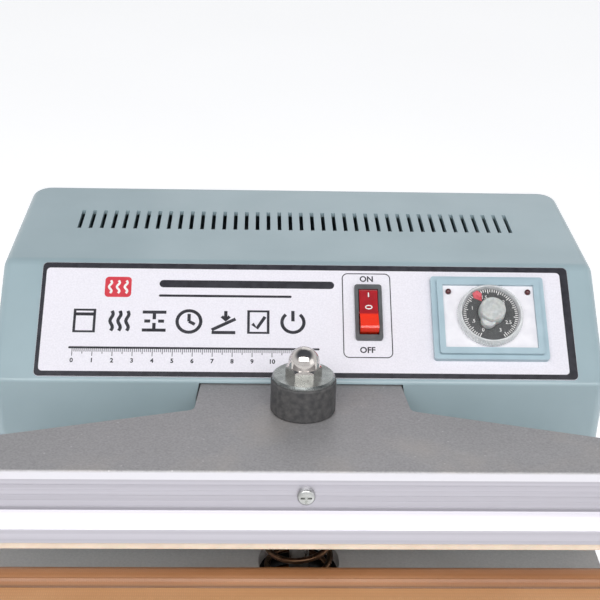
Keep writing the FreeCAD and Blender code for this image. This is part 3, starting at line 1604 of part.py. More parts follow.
os.makedirs("parts", exist_ok=True)
for name, make in PIECES.items():
    save(name, make())
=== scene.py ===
# %% [markdown]
# An impulse heat sealer on a stand. The CAD model is the fixed frame: its nodes keep their place and shape, and
# this file gives them their finishes and adds the pieces that are cloth, wire, print or moulded plastic.

import math

import bmesh
import bpy
from mathutils import Matrix, Vector


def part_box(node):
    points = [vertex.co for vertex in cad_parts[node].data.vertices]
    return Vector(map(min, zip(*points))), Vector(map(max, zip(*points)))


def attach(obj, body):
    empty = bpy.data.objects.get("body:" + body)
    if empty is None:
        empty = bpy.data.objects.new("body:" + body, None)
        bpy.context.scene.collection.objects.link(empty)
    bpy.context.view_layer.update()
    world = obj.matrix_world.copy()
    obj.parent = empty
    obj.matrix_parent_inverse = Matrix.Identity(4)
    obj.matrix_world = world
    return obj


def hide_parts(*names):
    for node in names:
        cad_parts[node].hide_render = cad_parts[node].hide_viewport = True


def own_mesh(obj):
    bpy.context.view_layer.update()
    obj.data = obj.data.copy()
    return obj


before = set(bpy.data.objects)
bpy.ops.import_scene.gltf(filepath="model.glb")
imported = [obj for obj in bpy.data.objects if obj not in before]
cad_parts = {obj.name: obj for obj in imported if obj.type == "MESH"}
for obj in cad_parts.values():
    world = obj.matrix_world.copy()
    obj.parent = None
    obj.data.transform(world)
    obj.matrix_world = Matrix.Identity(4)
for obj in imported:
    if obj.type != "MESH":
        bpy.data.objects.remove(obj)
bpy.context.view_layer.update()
MM = 0.001

# %% [markdown]
# Most of what the eye meets sits on the sloping front of the housing. A small frame of its own makes that easy:
# x runs right, s runs up the slope from the fold, and n points out of it. The printed plate is a CAD node, so
# its box says where the fold is.

# %% The sloping panel's own frame
PANEL_ANGLE = math.radians(36.5)
UP_SLOPE = Vector((0, math.cos(PANEL_ANGLE), math.sin(PANEL_ANGLE)))
OUTWARD = Vector((0, -math.sin(PANEL_ANGLE), math.cos(PANEL_ANGLE)))
PLATE_S = (2.1, 65.3)
plate_low, plate_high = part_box("nameplate")
FOLD = Vector((0, plate_high[1] - PLATE_S[1] * MM * UP_SLOPE.y, plate_low[2] - PLATE_S[0] * MM * UP_SLOPE.z))


def panel_frame(x, s, n):
    """A matrix whose X, Y and Z are the panel's right, upward and outward, in millimetres, at (x, s, n)."""
    turn = Matrix((Vector((1, 0, 0)), UP_SLOPE, OUTWARD)).transposed().to_4x4()
    place = FOLD + Vector((x * MM, 0, 0)) + UP_SLOPE * s * MM + OUTWARD * n * MM
    return Matrix.Translation(place) @ turn @ Matrix.Scale(MM, 4)


print("fold of the panel:", [round(c, 4) for c in FOLD])

# %% [markdown]
# The camera stands in front and looks down on the head, with a lens a little longer than normal.
# Its place is set from the fold.

# %% The camera
LENS_MM, SENSOR_MM = 73.08, 36
FROM_FOLD_MM = Vector((-22.2, -515.9, 321.5))
YAW, PITCH, ROLL = math.radians(2.26), math.radians(28.04), math.radians(-1.64)
ahead = Vector((math.sin(YAW) * math.cos(PITCH), math.cos(YAW) * math.cos(PITCH), -math.sin(PITCH)))
level = Vector((math.cos(YAW), -math.sin(YAW), 0))
over = level.cross(ahead)
right = level * math.cos(ROLL) - over * math.sin(ROLL)
up = over * math.cos(ROLL) + level * math.sin(ROLL)
camera = bpy.data.objects.new("camera", bpy.data.cameras.new("camera"))
camera.data.lens, camera.data.sensor_width = LENS_MM, SENSOR_MM
camera.data.clip_start, camera.data.clip_end = 0.01, 60
stand_at = FOLD + FROM_FOLD_MM * MM
camera.matrix_world = Matrix.Translation(stand_at) @ Matrix((right, up, -ahead)).transposed().to_4x4()
bpy.context.scene.collection.objects.link(camera)
bpy.context.scene.camera = camera
print("camera at", [round(c, 3) for c in stand_at])

# %% [markdown]
# Colours are written as the hex values that a designer would read off a screen. Blender mixes light in linear
# values, so one function turns them. Another adds a node and wires it, and a third starts a material.

# %% Colour, node and material helpers
def linear(code):
    """An sRGB hex colour such as '#a0b0b8' as linear RGBA."""
    parts = [int(code[i:i + 2], 16) / 255 for i in (1, 3, 5)]
    return [p / 12.92 if p <= 0.04045 else ((p + 0.055) / 1.055) ** 2.4 for p in parts] + [1.0]


def add(material, kind, settings=None, inputs=None):
    """Adds a node with its settings; an input is a value, or the socket that feeds it."""
    node = material.node_tree.nodes.new(kind)
    for name, value in (settings or {}).items():
        setattr(node, name, value)
    for name, value in (inputs or {}).items():
        if isinstance(value, bpy.types.NodeSocket):
            material.node_tree.links.new(value, node.inputs[name])
        else:
            node.inputs[name].default_value = value
    return node


def start(name, **constants):
    """A material with a Principled shader, and constant values on the shader's own sockets."""
    material = bpy.data.materials.new(name)
    material.use_nodes = True
    shader = material.node_tree.nodes["Principled BSDF"]
    for key, value in constants.items():
        shader.inputs[key.replace("_", " ").title().replace("Ior", "IOR")].default_value = value
    return material


def feed(material, socket, source):
    """Links a source to one of the shader's sockets."""
    shader = material.node_tree.nodes["Principled BSDF"]
    material.node_tree.links.new(source, shader.inputs[socket])


# %% [markdown]
# Real surfaces are never one flat colour. Three patterns serve most of them: a cloudy drift between two
# shades, a fine relief that breaks up the reflections, and a drift in gloss. Each is sized in millimetres.

# %% Patterns shared by the finishes
WAVE = 100 * math.pi          # a wave texture of scale WAVE / t repeats every t millimetres


def place_on(material, stretch=(1, 1, 1)):
    """The object's own coordinates, stretched along its axes."""
    where = add(material, "ShaderNodeTexCoord")
    return add(material, "ShaderNodeMapping", {"vector_type": "POINT"},
               {"Vector": where.outputs["Object"], "Scale": stretch}).outputs["Vector"]


def cloudy(material, patch_mm, dark, light, where=None, detail=4.0, edges=(0.35, 0.65)):
    """Drifts the colour between two shades in patches of this size."""
    noise = add(material, "ShaderNodeTexNoise", None,
                {"Vector": where or place_on(material), "Scale": 1000 / patch_mm, "Detail": detail})
    ramp = add(material, "ShaderNodeValToRGB", None, {"Fac": noise.outputs["Fac"]})
    ramp.color_ramp.elements[0].position, ramp.color_ramp.elements[0].color = edges[0], linear(dark)
    ramp.color_ramp.elements[1].position, ramp.color_ramp.elements[1].color = edges[1], linear(light)
    feed(material, "Base Color", ramp.outputs["Color"])
    return ramp.outputs["Color"]


def relief(material, grain_mm, depth_mm, where=None, detail=3.0, below=None):
    """Raises a fine grain of this size and depth."""
    noise = add(material, "ShaderNodeTexNoise", None,
                {"Vector": where or place_on(material), "Scale": 1000 / grain_mm, "Detail": detail})
    inputs = {"Height": noise.outputs["Fac"], "Distance": depth_mm * MM, "Strength": 1.0}
    if below is not None:
        inputs["Normal"] = below
    bump = add(material, "ShaderNodeBump", None, inputs)
    feed(material, "Normal", bump.outputs["Normal"])
    return bump.outputs["Normal"]


def gloss_drift(material, patch_mm, smooth, rough, where=None):
    """Drifts the roughness between two values."""
    noise = add(material, "ShaderNodeTexNoise", None,
                {"Vector": where or place_on(material), "Scale": 1000 / patch_mm, "Detail": 5.0})
    span = add(material, "ShaderNodeMapRange", None,
               {"Value": noise.outputs["Fac"], "From Min": 0.3, "From Max": 0.7, "To Min": smooth, "To Max": rough})
    feed(material, "Roughness", span.outputs["Result"])


def finish(material, *nodes):
    """Gives CAD nodes their finish."""
    for node in nodes:
        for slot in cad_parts[node].material_slots:
            slot.material = material
    print(f"{material.name}: {', '.join(nodes) or 'made pieces'}")


def simple(name, nodes, drift, gloss, grain=None, **constants):
    """A finish with a cloudy drift, a drift in gloss and, where it has one, a fine grain."""
    material = start(name, **constants)
    cloudy(material, *drift)
    gloss_drift(material, *gloss)
    if grain:
        relief(material, *grain)
    finish(material, *nodes)
    return material


# %% [markdown]
# Stove enamel on pressed sheet steel: the grey-blue of the housing. It was sprayed and baked, so it is satin with
# a very shallow orange peel, about 2 mm from crest to crest, and a thin clear gloss at grazing angles. Dust makes
# it drift a little in shade.

# %% Stove enamel
simple("stove_enamel", ("housing", "back_cover"), (60, "#98acb2", "#9fb3b9"), (25, 0.36, 0.46), (2.2, 0.012),
       coat_weight=0.5, coat_roughness=0.14)

# %% [markdown]
# Powder coat on the welded stand: the same grey-blue, but sprayed dry and melted, which leaves a coarser peel.

# %% Powder coat
WELDED = ("base_feet", "cross_tube", "column", "head_plate", "pedal_lever", "pedal_tread", "pedal_bracket")
powder = simple("powder_coat", WELDED, (90, "#90a3aa", "#98acb3"), (15, 0.42, 0.55), (1.4, 0.03))

# %% [markdown]
# Mill-finish aluminium plate, sanded and handled: the arm and the deck. The oxide is dull and a little warm, with
# a fine grain about a millimetre across, pale specks where the grit lifted it, and wide dusty smears. The sawn front
# edge is bright. The deck lies in the arm's shade, so its shades are painted much lighter than the arm's: painted
# light that makes up for the shade.

# %% Dull aluminium plate
def sanded(name, dark, light, metal, front):
    """Sanded plate between two shades: grain, specks, smears, and a bright sawn edge at the front (m)."""
    material = start(name, metallic=metal)
    base = cloudy(material, 1.1, dark, light, detail=9.0, edges=(0.25, 0.75))
    cells = add(material, "ShaderNodeTexVoronoi", {"feature": "F1"},
                {"Vector": place_on(material), "Scale": 1000 / 6.0})
    speck = add(material, "ShaderNodeMapRange", None, {"Value": cells.outputs["Distance"], "From Min": 0.04,
                                                       "From Max": 0.09, "To Min": 0.5, "To Max": 0.0})
    pale = add(material, "ShaderNodeMix", {"data_type": "RGBA"},
               {0: speck.outputs["Result"], 6: base, 7: linear("#e2e1e1")})
    smear = add(material, "ShaderNodeTexNoise", None, {"Vector": place_on(material), "Scale": 1000 / 38.0,
                                                      "Detail": 6.0})
    amount = add(material, "ShaderNodeMapRange", None, {"Value": smear.outputs["Fac"], "From Min": 0.5,
                                                        "From Max": 0.75, "To Min": 0.0, "To Max": 0.45})
    dusty = add(material, "ShaderNodeMix", {"data_type": "RGBA"},
                {0: amount.outputs["Result"], 6: pale.outputs[2], 7: linear("#c4bbb2")})
    axes = add(material, "ShaderNodeSeparateXYZ", None, {"Vector": place_on(material)})
    sawn = add(material, "ShaderNodeMapRange", None, {"Value": axes.outputs["Y"], "From Min": front + 0.7 * MM,
                                                      "From Max": front + 0.3 * MM})
    edge = add(material, "ShaderNodeMix", {"data_type": "RGBA"},
               {0: sawn.outputs["Result"], 6: dusty.outputs[2], 7: linear("#dddbe0")})
    feed(material, "Base Color", edge.outputs[2])
    scuffs = relief(material, 2.5, 0.02, where=place_on(material, (0.08, 1, 1)))
    relief(material, 0.7, 0.02, detail=6.0, below=scuffs)
    gloss_drift(material, 14, 0.5, 0.6)
    return material


plate = sanded("aluminium_plate_sanded", "#9b999a", "#b4b2b3", 0.4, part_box("arm_plate")[0][1])
finish(plate, "arm_plate", "hinge_block")
# Painted light: the deck's copy of the sanded finish has much lighter shades than the arm's.
finish(sanded("aluminium_deck_painted_light", "#dcd7d2", "#eae5e0", 0.1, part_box("deck_plate")[0][1]), "deck_plate")

# %% [markdown]
# Extruded aluminium: both jaw bars and the clamps. The die leaves straight drawn lines along the bar, so the
# pattern is stretched 400 times along x. It is bright, and its lines smear the reflections up and down. A band half
# way up the upper bar is painted a little darker: painted shade that stands in for a darker reflection. The face is
# flat there.

# %% Bright extrusion
PAINTED_SHADE_BAND = ((0.30, 0), (0.52, 0.9), (0.56, 0))      # share of the upper bar's height, and strength
extrusion = start("aluminium_extruded", metallic=1.0)
lines = place_on(extrusion, (0.0025, 1, 1))
drawn = cloudy(extrusion, 1.6, "#bab7be", "#c5c2c9", where=lines, detail=2.0)
upper_low, upper_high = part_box("upper_jaw_bar")
axes = add(extrusion, "ShaderNodeSeparateXYZ", None, {"Vector": place_on(extrusion)})
share = add(extrusion, "ShaderNodeMapRange", None,
            {"Value": axes.outputs["Z"], "From Min": upper_low[2], "From Max": upper_high[2]})
ramp = add(extrusion, "ShaderNodeValToRGB", None, {"Fac": share.outputs["Result"]})
for stop, grey in PAINTED_SHADE_BAND:
    ramp.color_ramp.elements.new(stop).color = (grey, grey, grey, 1)
ramp.color_ramp.elements[0].color = ramp.color_ramp.elements[-1].color = (0, 0, 0, 1)
# Painted shade: within the band the bar's colour is mixed toward a darker grey.
shade_banded = add(extrusion, "ShaderNodeMix", {"data_type": "RGBA"},
             {0: ramp.outputs["Color"], 6: drawn, 7: linear("#99969d")})
feed(extrusion, "Base Color", shade_banded.outputs[2])
relief(extrusion, 1.1, 0.01, where=lines, detail=2.0)
gloss_drift(extrusion, 2.5, 0.34, 0.44, where=lines)
finish(extrusion, "upper_jaw_bar", "lower_jaw_bar", "ptfe_clamps")

# %% [markdown]
# Zinc plate on screws, brackets, bolts and rods: a bright grey with a faint drift of warmth.

# %% Zinc plate
ZINC_PLATED = ("frame_bolts", "clamp_screws", "housing_clips", "housing_screws", "transformer_frame",
               "hinge_brackets", "deck_screws", "arm_screws", "pull_bolt", "pull_rod", "pedal_pivot_bolt",
               "limit_lever")
simple("zinc_plate", ZINC_PLATED, (7, "#b4b5b2", "#cbccca"), (5, 0.24, 0.4), (0.8, 0.01), metallic=1.0)

# %% [markdown]
# Polished nickel on the acorn nut: almost a mirror, slightly warm. Handling leaves a faint haze.

# %% Nickel plate
simple("nickel_plate", ("acorn_nut",), (5, "#cfc9c4", "#dcd7d2"), (3, 0.07, 0.16), (3.0, 0.006), metallic=1.0)

# %% [markdown]
# Turned steel on the washer, pins and shaft. A lathe tool leaves fine rings, 0.4 mm apart here so that they show.

# %% Turned steel
turned = start("steel_turned", metallic=1.0)
cloudy(turned, 6, "#8b8f8d", "#a4a8a6")
rings = add(turned, "ShaderNodeTexWave", {"wave_type": "RINGS", "rings_direction": "Z"},
            {"Vector": place_on(turned), "Scale": WAVE / 0.4, "Distortion": 0.3})
fine = add(turned, "ShaderNodeBump", None, {"Height": rings.outputs["Fac"], "Distance": 0.004 * MM})
feed(turned, "Normal", fine.outputs["Normal"])
gloss_drift(turned, 4, 0.2, 0.34)
finish(turned, "bumper_washer", "clevis_pin", "hinge_shaft", "pedal_link_pin")

# %% [markdown]
# Moulded black rubber: bumper, floor pads and the tread. Carbon black hardly drifts in colour, but the skin
# picks up pale dust and rubs smooth in patches.

# %% Black rubber
simple("rubber_moulded", ("bumper", "foot_pads", "tread_mat"),
       (2.6, "#3b3b3c", "#5c5a59", None, 8.0, (0.35, 0.8)), (6, 0.42, 0.66), (1.0, 0.05, None, 6.0))

# %% [markdown]
# Black enamel inside the spring's cup: its black is painted shade, for the dark deep in the spring's hole. Black
# ABS on caps, gland, timer body, terminal strip and snap switch.

# %% Black enamel and black ABS
simple("black_enamel_painted_shade", ("spring_seat",), (12, "#0d0d0e", "#161617"), (8, 0.4, 0.55), (1.5, 0.01))
simple("abs_black", ("foot_end_caps", "cable_gland", "timer_body", "terminal_block", "limit_switch"),
       (14, "#1d1d1f", "#27272a"), (10, 0.45, 0.6), (0.7, 0.02))

# %% [markdown]
# Silicone rubber on the upper jaw: cream, matte, a little translucent, with a faint bloom of dust.

# %% Silicone
simple("silicone_rubber", ("silicone_strip",), (9, "#d2bfab", "#dcc9b5"), (8, 0.5, 0.65), (1.2, 0.02),
       subsurface_weight=0.15, subsurface_scale=0.002)

# %% [markdown]
# Brown glass cloth with a fluoropolymer coat: it covers the hot wire. Threads cross about every millimetre,
# and the coat makes it slightly waxy. Near the hot band it is a darker brown, and a narrow dark line along the
# crease where it leaves the bead is painted shade. Two sets of waves, one along each thread, make the weave.

# %% Coated glass cloth
THREAD_MM = 1.0
BEAD_FROM_BACK, BEAD_HALF, DRAPE = 5.0, 3.7, 2.3
cloth = start("glass_cloth_coated", coat_weight=0.2, coat_roughness=0.35)
fresh = cloudy(cloth, 30, "#ca9668", "#d8a678", where=place_on(cloth, (0.3, 1, 1)))
# Near the hot band the cloth is a darker brown.
darker_brown = cloudy(cloth, 18, "#9c6a44", "#ad7a52", where=place_on(cloth, (0.2, 1, 1)))
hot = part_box("heating_band")[1][2]
axes = add(cloth, "ShaderNodeSeparateXYZ", None, {"Vector": place_on(cloth)})
near = add(cloth, "ShaderNodeMapRange", {"interpolation_type": "SMOOTHSTEP"},
           {"Value": axes.outputs["Z"], "From Min": hot - 4.2 * MM, "From Max": hot - 1.8 * MM})
toned = add(cloth, "ShaderNodeMix", {"data_type": "RGBA"}, {0: near.outputs["Result"], 6: fresh, 7: darker_brown})
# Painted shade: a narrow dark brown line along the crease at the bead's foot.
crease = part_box("lower_jaw_bar")[1][1] - (BEAD_FROM_BACK + BEAD_HALF + DRAPE) * MM
beyond = add(cloth, "ShaderNodeMath", {"operation": "SUBTRACT"}, {0: axes.outputs["Y"], 1: crease})
off = add(cloth, "ShaderNodeMath", {"operation": "ABSOLUTE"}, {0: beyond.outputs[0]})
crease_shade = add(cloth, "ShaderNodeMapRange", None, {"Value": off.outputs[0], "From Min": 0.15 * MM,
                                                 "From Max": 0.75 * MM, "To Min": 0.8, "To Max": 0.0})
crease_shaded = add(cloth, "ShaderNodeMix", {"data_type": "RGBA"},
              {0: crease_shade.outputs["Result"], 6: toned.outputs[2], 7: linear("#55361f")})
warp = add(cloth, "ShaderNodeTexWave", {"bands_direction": "X"},
           {"Vector": place_on(cloth), "Scale": WAVE / THREAD_MM, "Distortion": 0.4, "Detail": 1.0})
weft = add(cloth, "ShaderNodeTexWave", {"bands_direction": "DIAGONAL"},
           {"Vector": place_on(cloth, (0, 1, 1)), "Scale": WAVE / THREAD_MM, "Distortion": 0.4, "Detail": 1.0})
weave = add(cloth, "ShaderNodeMath", {"operation": "MULTIPLY"},
            {0: warp.outputs["Fac"], 1: weft.outputs["Fac"]})
dim = add(cloth, "ShaderNodeMapRange", None, {"Value": weave.outputs[0], "To Min": 0.16, "To Max": 0.0})
woven = add(cloth, "ShaderNodeMix", {"data_type": "RGBA"}, {0: dim.outputs["Result"], 6: crease_shaded.outputs[2],
                                                          7: linear("#6b4225")})
feed(cloth, "Base Color", woven.outputs[2])
threads = add(cloth, "ShaderNodeBump", None, {"Height": weave.outputs[0], "Distance": 0.05 * MM})
feed(cloth, "Normal", threads.outputs["Normal"])
gloss_drift(cloth, 12, 0.38, 0.5)
print("cloth threads every", THREAD_MM, "mm")

# %% [markdown]
# The small parts that carry current, and the bushes: a rolled resistance band, machined brass, sintered bronze,
# silicone-covered wire, pressed board, varnished laminations and a winding under tape.

# %% Electrical finishes and bushes
simple("nichrome_band", ("heating_band",), (6, "#86817c", "#9a948d"), (4, 0.3, 0.4), metallic=1.0)
simple("brass_machined", ("heater_terminals",), (5, "#c8a45a", "#d6b36b"), (4, 0.22, 0.34), (0.6, 0.01), metallic=1.0)
simple("bronze_sintered", ("hinge_bushes",), (1.5, "#8d6a3c", "#a5804c"), (2, 0.35, 0.5), (0.5, 0.03), metallic=1.0)
simple("wire_silicone_red", ("wiring",), (12, "#a8261c", "#b83226"), (6, 0.4, 0.5), (1.0, 0.02))
board = start("phenolic_board")
cloudy(board, 5, "#7a5230", "#8e6238", where=place_on(board, (0.2, 1, 1)))
relief(board, 0.6, 0.02)
gloss_drift(board, 5, 0.4, 0.5)
finish(board, "heater_insulators")
iron = start("iron_laminations", metallic=0.6)
sheets = add(iron, "ShaderNodeTexWave", {"bands_direction": "X"},
             {"Vector": place_on(iron), "Scale": WAVE / 1.0, "Distortion": 0.5})
layer = add(iron, "ShaderNodeBump", None, {"Height": sheets.outputs["Fac"], "Distance": 0.1 * MM})
feed(iron, "Normal", layer.outputs["Normal"])
cloudy(iron, 10, "#2e2b29", "#3d3936")
gloss_drift(iron, 6, 0.4, 0.55)
finish(iron, "transformer_core")
tape = start("winding_tape")
cloudy(tape, 9, "#c79a3c", "#d6ac52", where=place_on(tape, (1, 1, 0.15)))
relief(tape, 2.5, 0.06, where=place_on(tape, (0.2, 0.2, 1)))
gloss_drift(tape, 8, 0.35, 0.45)
finish(tape, "transformer_coil")

# %% [markdown]
# The label is a thin silvery plastic plate, faintly lilac under a satin lacquer, with a very fine sparkle. The
# printing on it is made later as thin layers of ink.

# %% Label plate and inks
simple("label_plate", ("nameplate",), (0.8, "#e4e1e8", "#ebe8ef", None, 1.0), (20, 0.35, 0.45), (0.8, 0.01),
       coat_weight=0.3, coat_roughness=0.3)
ink = simple("ink_dark", (), (3, "#232229", "#2f2e36", None, 6.0), (6, 0.3, 0.5), (1.5, 0.02))
red_ink = simple("ink_red", (), (4, "#c9303f", "#d43c48"), (5, 0.35, 0.5))
white_ink = simple("ink_white", (), (3, "#e6e4e2", "#f3f1ef"), (3, 0.4, 0.5))

# %% [markdown]
# The power switch is moulded: a grey frame round a translucent red rocker. Its upper half is pressed in and dark red;
# below the pivot it rises, and there its colour is a painted highlight, a bright orange where it catches the light.

# %% Switch plastics
simple("abs_grey", ("switch_body",), (5, "#4f5153", "#5b5d5f"), (5, 0.4, 0.5), (0.6, 0.03))
RISE_AT, BLEND_MM = -2.0, 0.8
red = start("polycarbonate_red", coat_weight=0.5, coat_roughness=0.08, subsurface_weight=0.35,
            subsurface_scale=0.004)
switch_low, switch_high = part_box("switch_body")
SWITCH_X, SWITCH_S = (switch_low[0] + switch_high[0]) / 2 / MM, 38.0
edge_at = FOLD + UP_SLOPE * (SWITCH_S + RISE_AT) * MM
away = add(red, "ShaderNodeVectorMath", {"operation": "SUBTRACT"}, {0: place_on(red), 1: tuple(edge_at)})
above = add(red, "ShaderNodeVectorMath", {"operation": "DOT_PRODUCT"}, {0: away.outputs[0], 1: tuple(UP_SLOPE)})
# Painted highlight: below the pivot the rocker's colour turns a bright orange.
lit = add(red, "ShaderNodeMapRange", {"interpolation_type": "SMOOTHSTEP"},
          {"Value": above.outputs["Value"], "From Min": -BLEND_MM * MM, "From Max": BLEND_MM * MM})
drift = cloudy(red, 6, "#a3222b", "#b3282f")
shades = add(red, "ShaderNodeMix", {"data_type": "RGBA"},
             {0: lit.outputs["Result"], 6: linear("#fb3c22"), 7: drift})
feed(red, "Base Color", shades.outputs[2])
relief(red, 4, 0.01)
gloss_drift(red, 5, 0.15, 0.25)
finish(red, "rocker")

# %% [markdown]
# The timer is moulded too: a pale blue frame, a white printed face, dark red lamps and a black scale. The dial is
# clear acrylic. Its skirt is half see-through, its flat top almost wholly, and its knob is frosted.

# %% Timer plastics
simple("abs_pale_blue", ("timer_bezel",), (12, "#a3b9c3", "#acc2cb"), (8, 0.35, 0.45), (0.8, 0.015))
simple("printed_face_white", ("timer_face",), (6, "#e6e4e9", "#efedf1"), (8, 0.35, 0.45), (1.0, 0.01))
simple("lamp_lens_red", ("timer_lamps",), (1.5, "#3d1216", "#5c1a20"), (2, 0.1, 0.2), coat_weight=0.6,
       coat_roughness=0.05)
simple("scale_disc_black", ("timer_scale",), (2, "#212223", "#2e3031", None, 6.0), (3, 0.35, 0.5), (1.0, 0.01))
acrylic = simple("acrylic_clear", (), (3, "#e8ecec", "#fbfcfc"), (4, 0.06, 0.16), alpha=0.55, ior=1.49,
                 coat_weight=0.6, coat_roughness=0.05)
window = simple("acrylic_window", (), (6, "#e8ecec", "#ffffff"), (4, 0.04, 0.1), alpha=0.04, ior=1.49,
                coat_weight=0.8, coat_roughness=0.05)
frosted = simple("acrylic_frosted", (), (1.6, "#b2b5b4", "#c9ccca", None, 6.0), (3, 0.25, 0.45), (0.9, 0.05),
                 ior=1.49, subsurface_weight=0.2, subsurface_scale=0.002)
pointer_red = simple("pointer_red", (), (2, "#c9303f", "#de5562"), (2, 0.25, 0.35), coat_weight=0.4,
                     coat_roughness=0.1)

# %% [markdown]
# Oil-tempered spring wire has a copper-brown temper colour and a soft shine along each turn.

# %% Spring wire
spring_wire = simple("spring_wire_tempered", (), (8, "#5f4434", "#8a6a50"), (5, 0.22, 0.36), (0.8, 0.01),
                     metallic=1.0)


# %% [markdown]
# Pieces made here are meshes built point by point. One function turns points and faces into an object in the
# frame's metres, shaded smooth where its faces meet at shallow angles, and gives it a finish.

# %% Mesh helpers
def make(name, points, faces, material, place=None, smooth_below=35.0):
    """An object from points and faces, with the points moved by the matrix place."""
    mesh = bpy.data.meshes.new(name)
    mesh.from_pydata([(place @ Vector(p)) if place else Vector(p) for p in points], [], faces)
    work = bmesh.new()
    work.from_mesh(mesh)
    bmesh.ops.recalc_face_normals(work, faces=work.faces)
    limit = math.radians(smooth_below)
    for edge in work.edges:
        edge.smooth = len(edge.link_faces) == 2 and edge.calc_face_angle(0) < limit
    for face in work.faces:
        face.smooth = True
    work.to_mesh(mesh)
    work.free()
    mesh.materials.append(material)
    piece = bpy.data.objects.new(name, mesh)
    bpy.context.scene.collection.objects.link(piece)
    return piece


def tube(points, radius, sides=10, closed=False):
    """Points and faces of a round tube along a line of points; radius may be a list."""
    count = len(points)
    radii = radius if isinstance(radius, list) else [radius] * count
    normal, rows, faces = None, [], []
    for i, point in enumerate(points):
        before = points[i - 1] if i or closed else points[i]
        after = points[(i + 1) % count] if i < count - 1 or closed else points[i]
        along = (after - before).normalized()
        if normal is None:
            normal = along.orthogonal().normalized()
        normal = (normal - along * normal.dot(along)).normalized()
        side = along.cross(normal)
        for k in range(sides):
            a = 2 * math.pi * k / sides
            rows.append(point + (normal * math.cos(a) + side * math.sin(a)) * radii[i])
    spans = count if closed else count - 1
    for i in range(spans):
        for k in range(sides):
            a, b = i * sides + k, i * sides + (k + 1) % sides
            c, d = ((i + 1) % count) * sides + (k + 1) % sides, ((i + 1) % count) * sides + k
            faces.append((a, b, c, d))
    if not closed:
        faces += [tuple(range(sides))[::-1], tuple((count - 1) * sides + k for k in range(sides))]
    return rows, faces


def rounded_loop(width, height, radius, steps=8, cx=0.0, cy=0.0):
    """The outline of a rounded rectangle, as (x, y) points."""
    loop = []
    for qx, qy, first in ((1, 1, 0), (-1, 1, 90), (-1, -1, 180), (1, -1, 270)):
        for k in range(steps + 1):
            a = math.radians(first + 90 * k / steps)
            loop.append((cx + qx * (width / 2 - radius) + radius * math.cos(a),
                         cy + qy * (height / 2 - radius) + radius * math.sin(a)))
    return loop


def ring_of(outer, inner, low, high):
    """Points and faces of a flat ring between two outlines with the same number of points."""
    count = len(outer)
    points = [(x, y, z) for z in (low, high) for loop in (outer, inner) for x, y in loop]
    faces = []
    for k in range(count):
        j = (k + 1) % count
        faces += [(2 * count + k, 2 * count + j, 3 * count + j, 3 * count + k), (k, count + k, count + j, j),
                  (k, j, 2 * count + j, 2 * count + k), (count + k, 3 * count + k, 3 * count + j, count + j)]
    return points, faces


def slab_of(outline, low, high):
    """Points and faces of a flat plate with this outline."""
    count = len(outline)
    points = [(x, y, z) for z in (low, high) for x, y in outline]
    faces = [tuple(range(count))[::-1], tuple(range(count, 2 * count))]
    faces += [(k, (k + 1) % count, count + (k + 1) % count, count + k) for k in range(count)]
    return points, faces


def join(parts):
    """Several (points, faces) as one."""
    points, faces = [], []
    for more, some in parts:
        faces += [tuple(i + len(points) for i in face) for face in some]
        points += list(more)
    return points, faces


# %% [markdown]
# The return spring is hard-drawn wire wound cold. Its end turns are closed so that it stands square on the cup.
# It is a swept helix.

# %% Return spring
COIL_RADIUS, WIRE_RADIUS, TURNS, STEPS_A_TURN = 16.0, 1.6, 12.0, 40
CLOSED_TURNS = 1.2
CLOSED_PITCH = 2 * WIRE_RADIUS * 1.04
END_LEAN, END_GAP = 0.9, 0.3
coil_low, coil_high = [Vector(c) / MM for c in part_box("return_spring")]
REACH = COIL_RADIUS + WIRE_RADIUS
SPRING_FOOT = Vector((0, coil_low.y + REACH, coil_low.z - END_LEAN))
SPRING_HEAD = Vector((0, coil_high.y - REACH, coil_high.z + END_LEAN))
lean = SPRING_HEAD - SPRING_FOOT
turn_to = lean.to_track_quat("Z", "X").to_matrix()
rise = lean.length - 2 * END_GAP - 2 * WIRE_RADIUS - 2 * CLOSED_TURNS * CLOSED_PITCH
coil = []
for i in range(int(TURNS * STEPS_A_TURN) + 1):
    turn = i / STEPS_A_TURN
    shut = min(turn, CLOSED_TURNS) + CLOSED_TURNS - min(TURNS - turn, CLOSED_TURNS)
    opened = max(0.0, min(turn, TURNS - CLOSED_TURNS) - CLOSED_TURNS) / (TURNS - 2 * CLOSED_TURNS)
    height = WIRE_RADIUS + END_GAP + shut * CLOSED_PITCH + opened * rise
    a = 2 * math.pi * turn
    coil.append(Vector((COIL_RADIUS * math.cos(a), COIL_RADIUS * math.sin(a), height)))
coil = [(SPRING_FOOT + turn_to @ p) * MM for p in coil]
spring = make("return_coil", *tube(coil, WIRE_RADIUS * MM, 12), spring_wire, smooth_below=60)
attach(spring, "stand")
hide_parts("return_spring")
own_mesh(spring)
print("spring:", len(coil), "points along", TURNS, "turns")

# %% [markdown]
# The cloth is a strip folded over the bar: up the front, over the ledge, up and round the raised bead with the
# hot band, and down the back. It is clamped taut, so it follows the metal closely, with soft corners and slight
# waves between the screws.

# %% Cloth over the lower jaw
bar_low, bar_high = [Vector(c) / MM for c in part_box("lower_jaw_bar")]
cover_low, cover_high = [Vector(c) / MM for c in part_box("ptfe_cover")]
FRONT, BACK, LEDGE, HEM = bar_low.y, bar_high.y, bar_high.z, cover_low.z
BEAD, CROWN = bar_high.y - BEAD_FROM_BACK, cover_high.z - 0.4
CLOTH_HALF, COLUMNS, CLOTH_MM, RIPPLE_MM = cover_high.x, 208, 0.3, 0.10
lift = 0.2
corners = [((FRONT - lift, HEM), 0), ((FRONT - lift, LEDGE + lift), 2.2),
           ((BEAD - BEAD_HALF - DRAPE, LEDGE + lift), 0.8), ((BEAD - BEAD_HALF - lift, CROWN + lift), 2.8),
           ((BEAD + BEAD_HALF + lift, CROWN + lift), 2.6),
           ((BEAD + BEAD_HALF + lift, LEDGE + lift), 0.3), ((BACK + lift, LEDGE + lift), 0.4), ((BACK + lift, HEM), 0)]


LONGEST_MM = 2.0


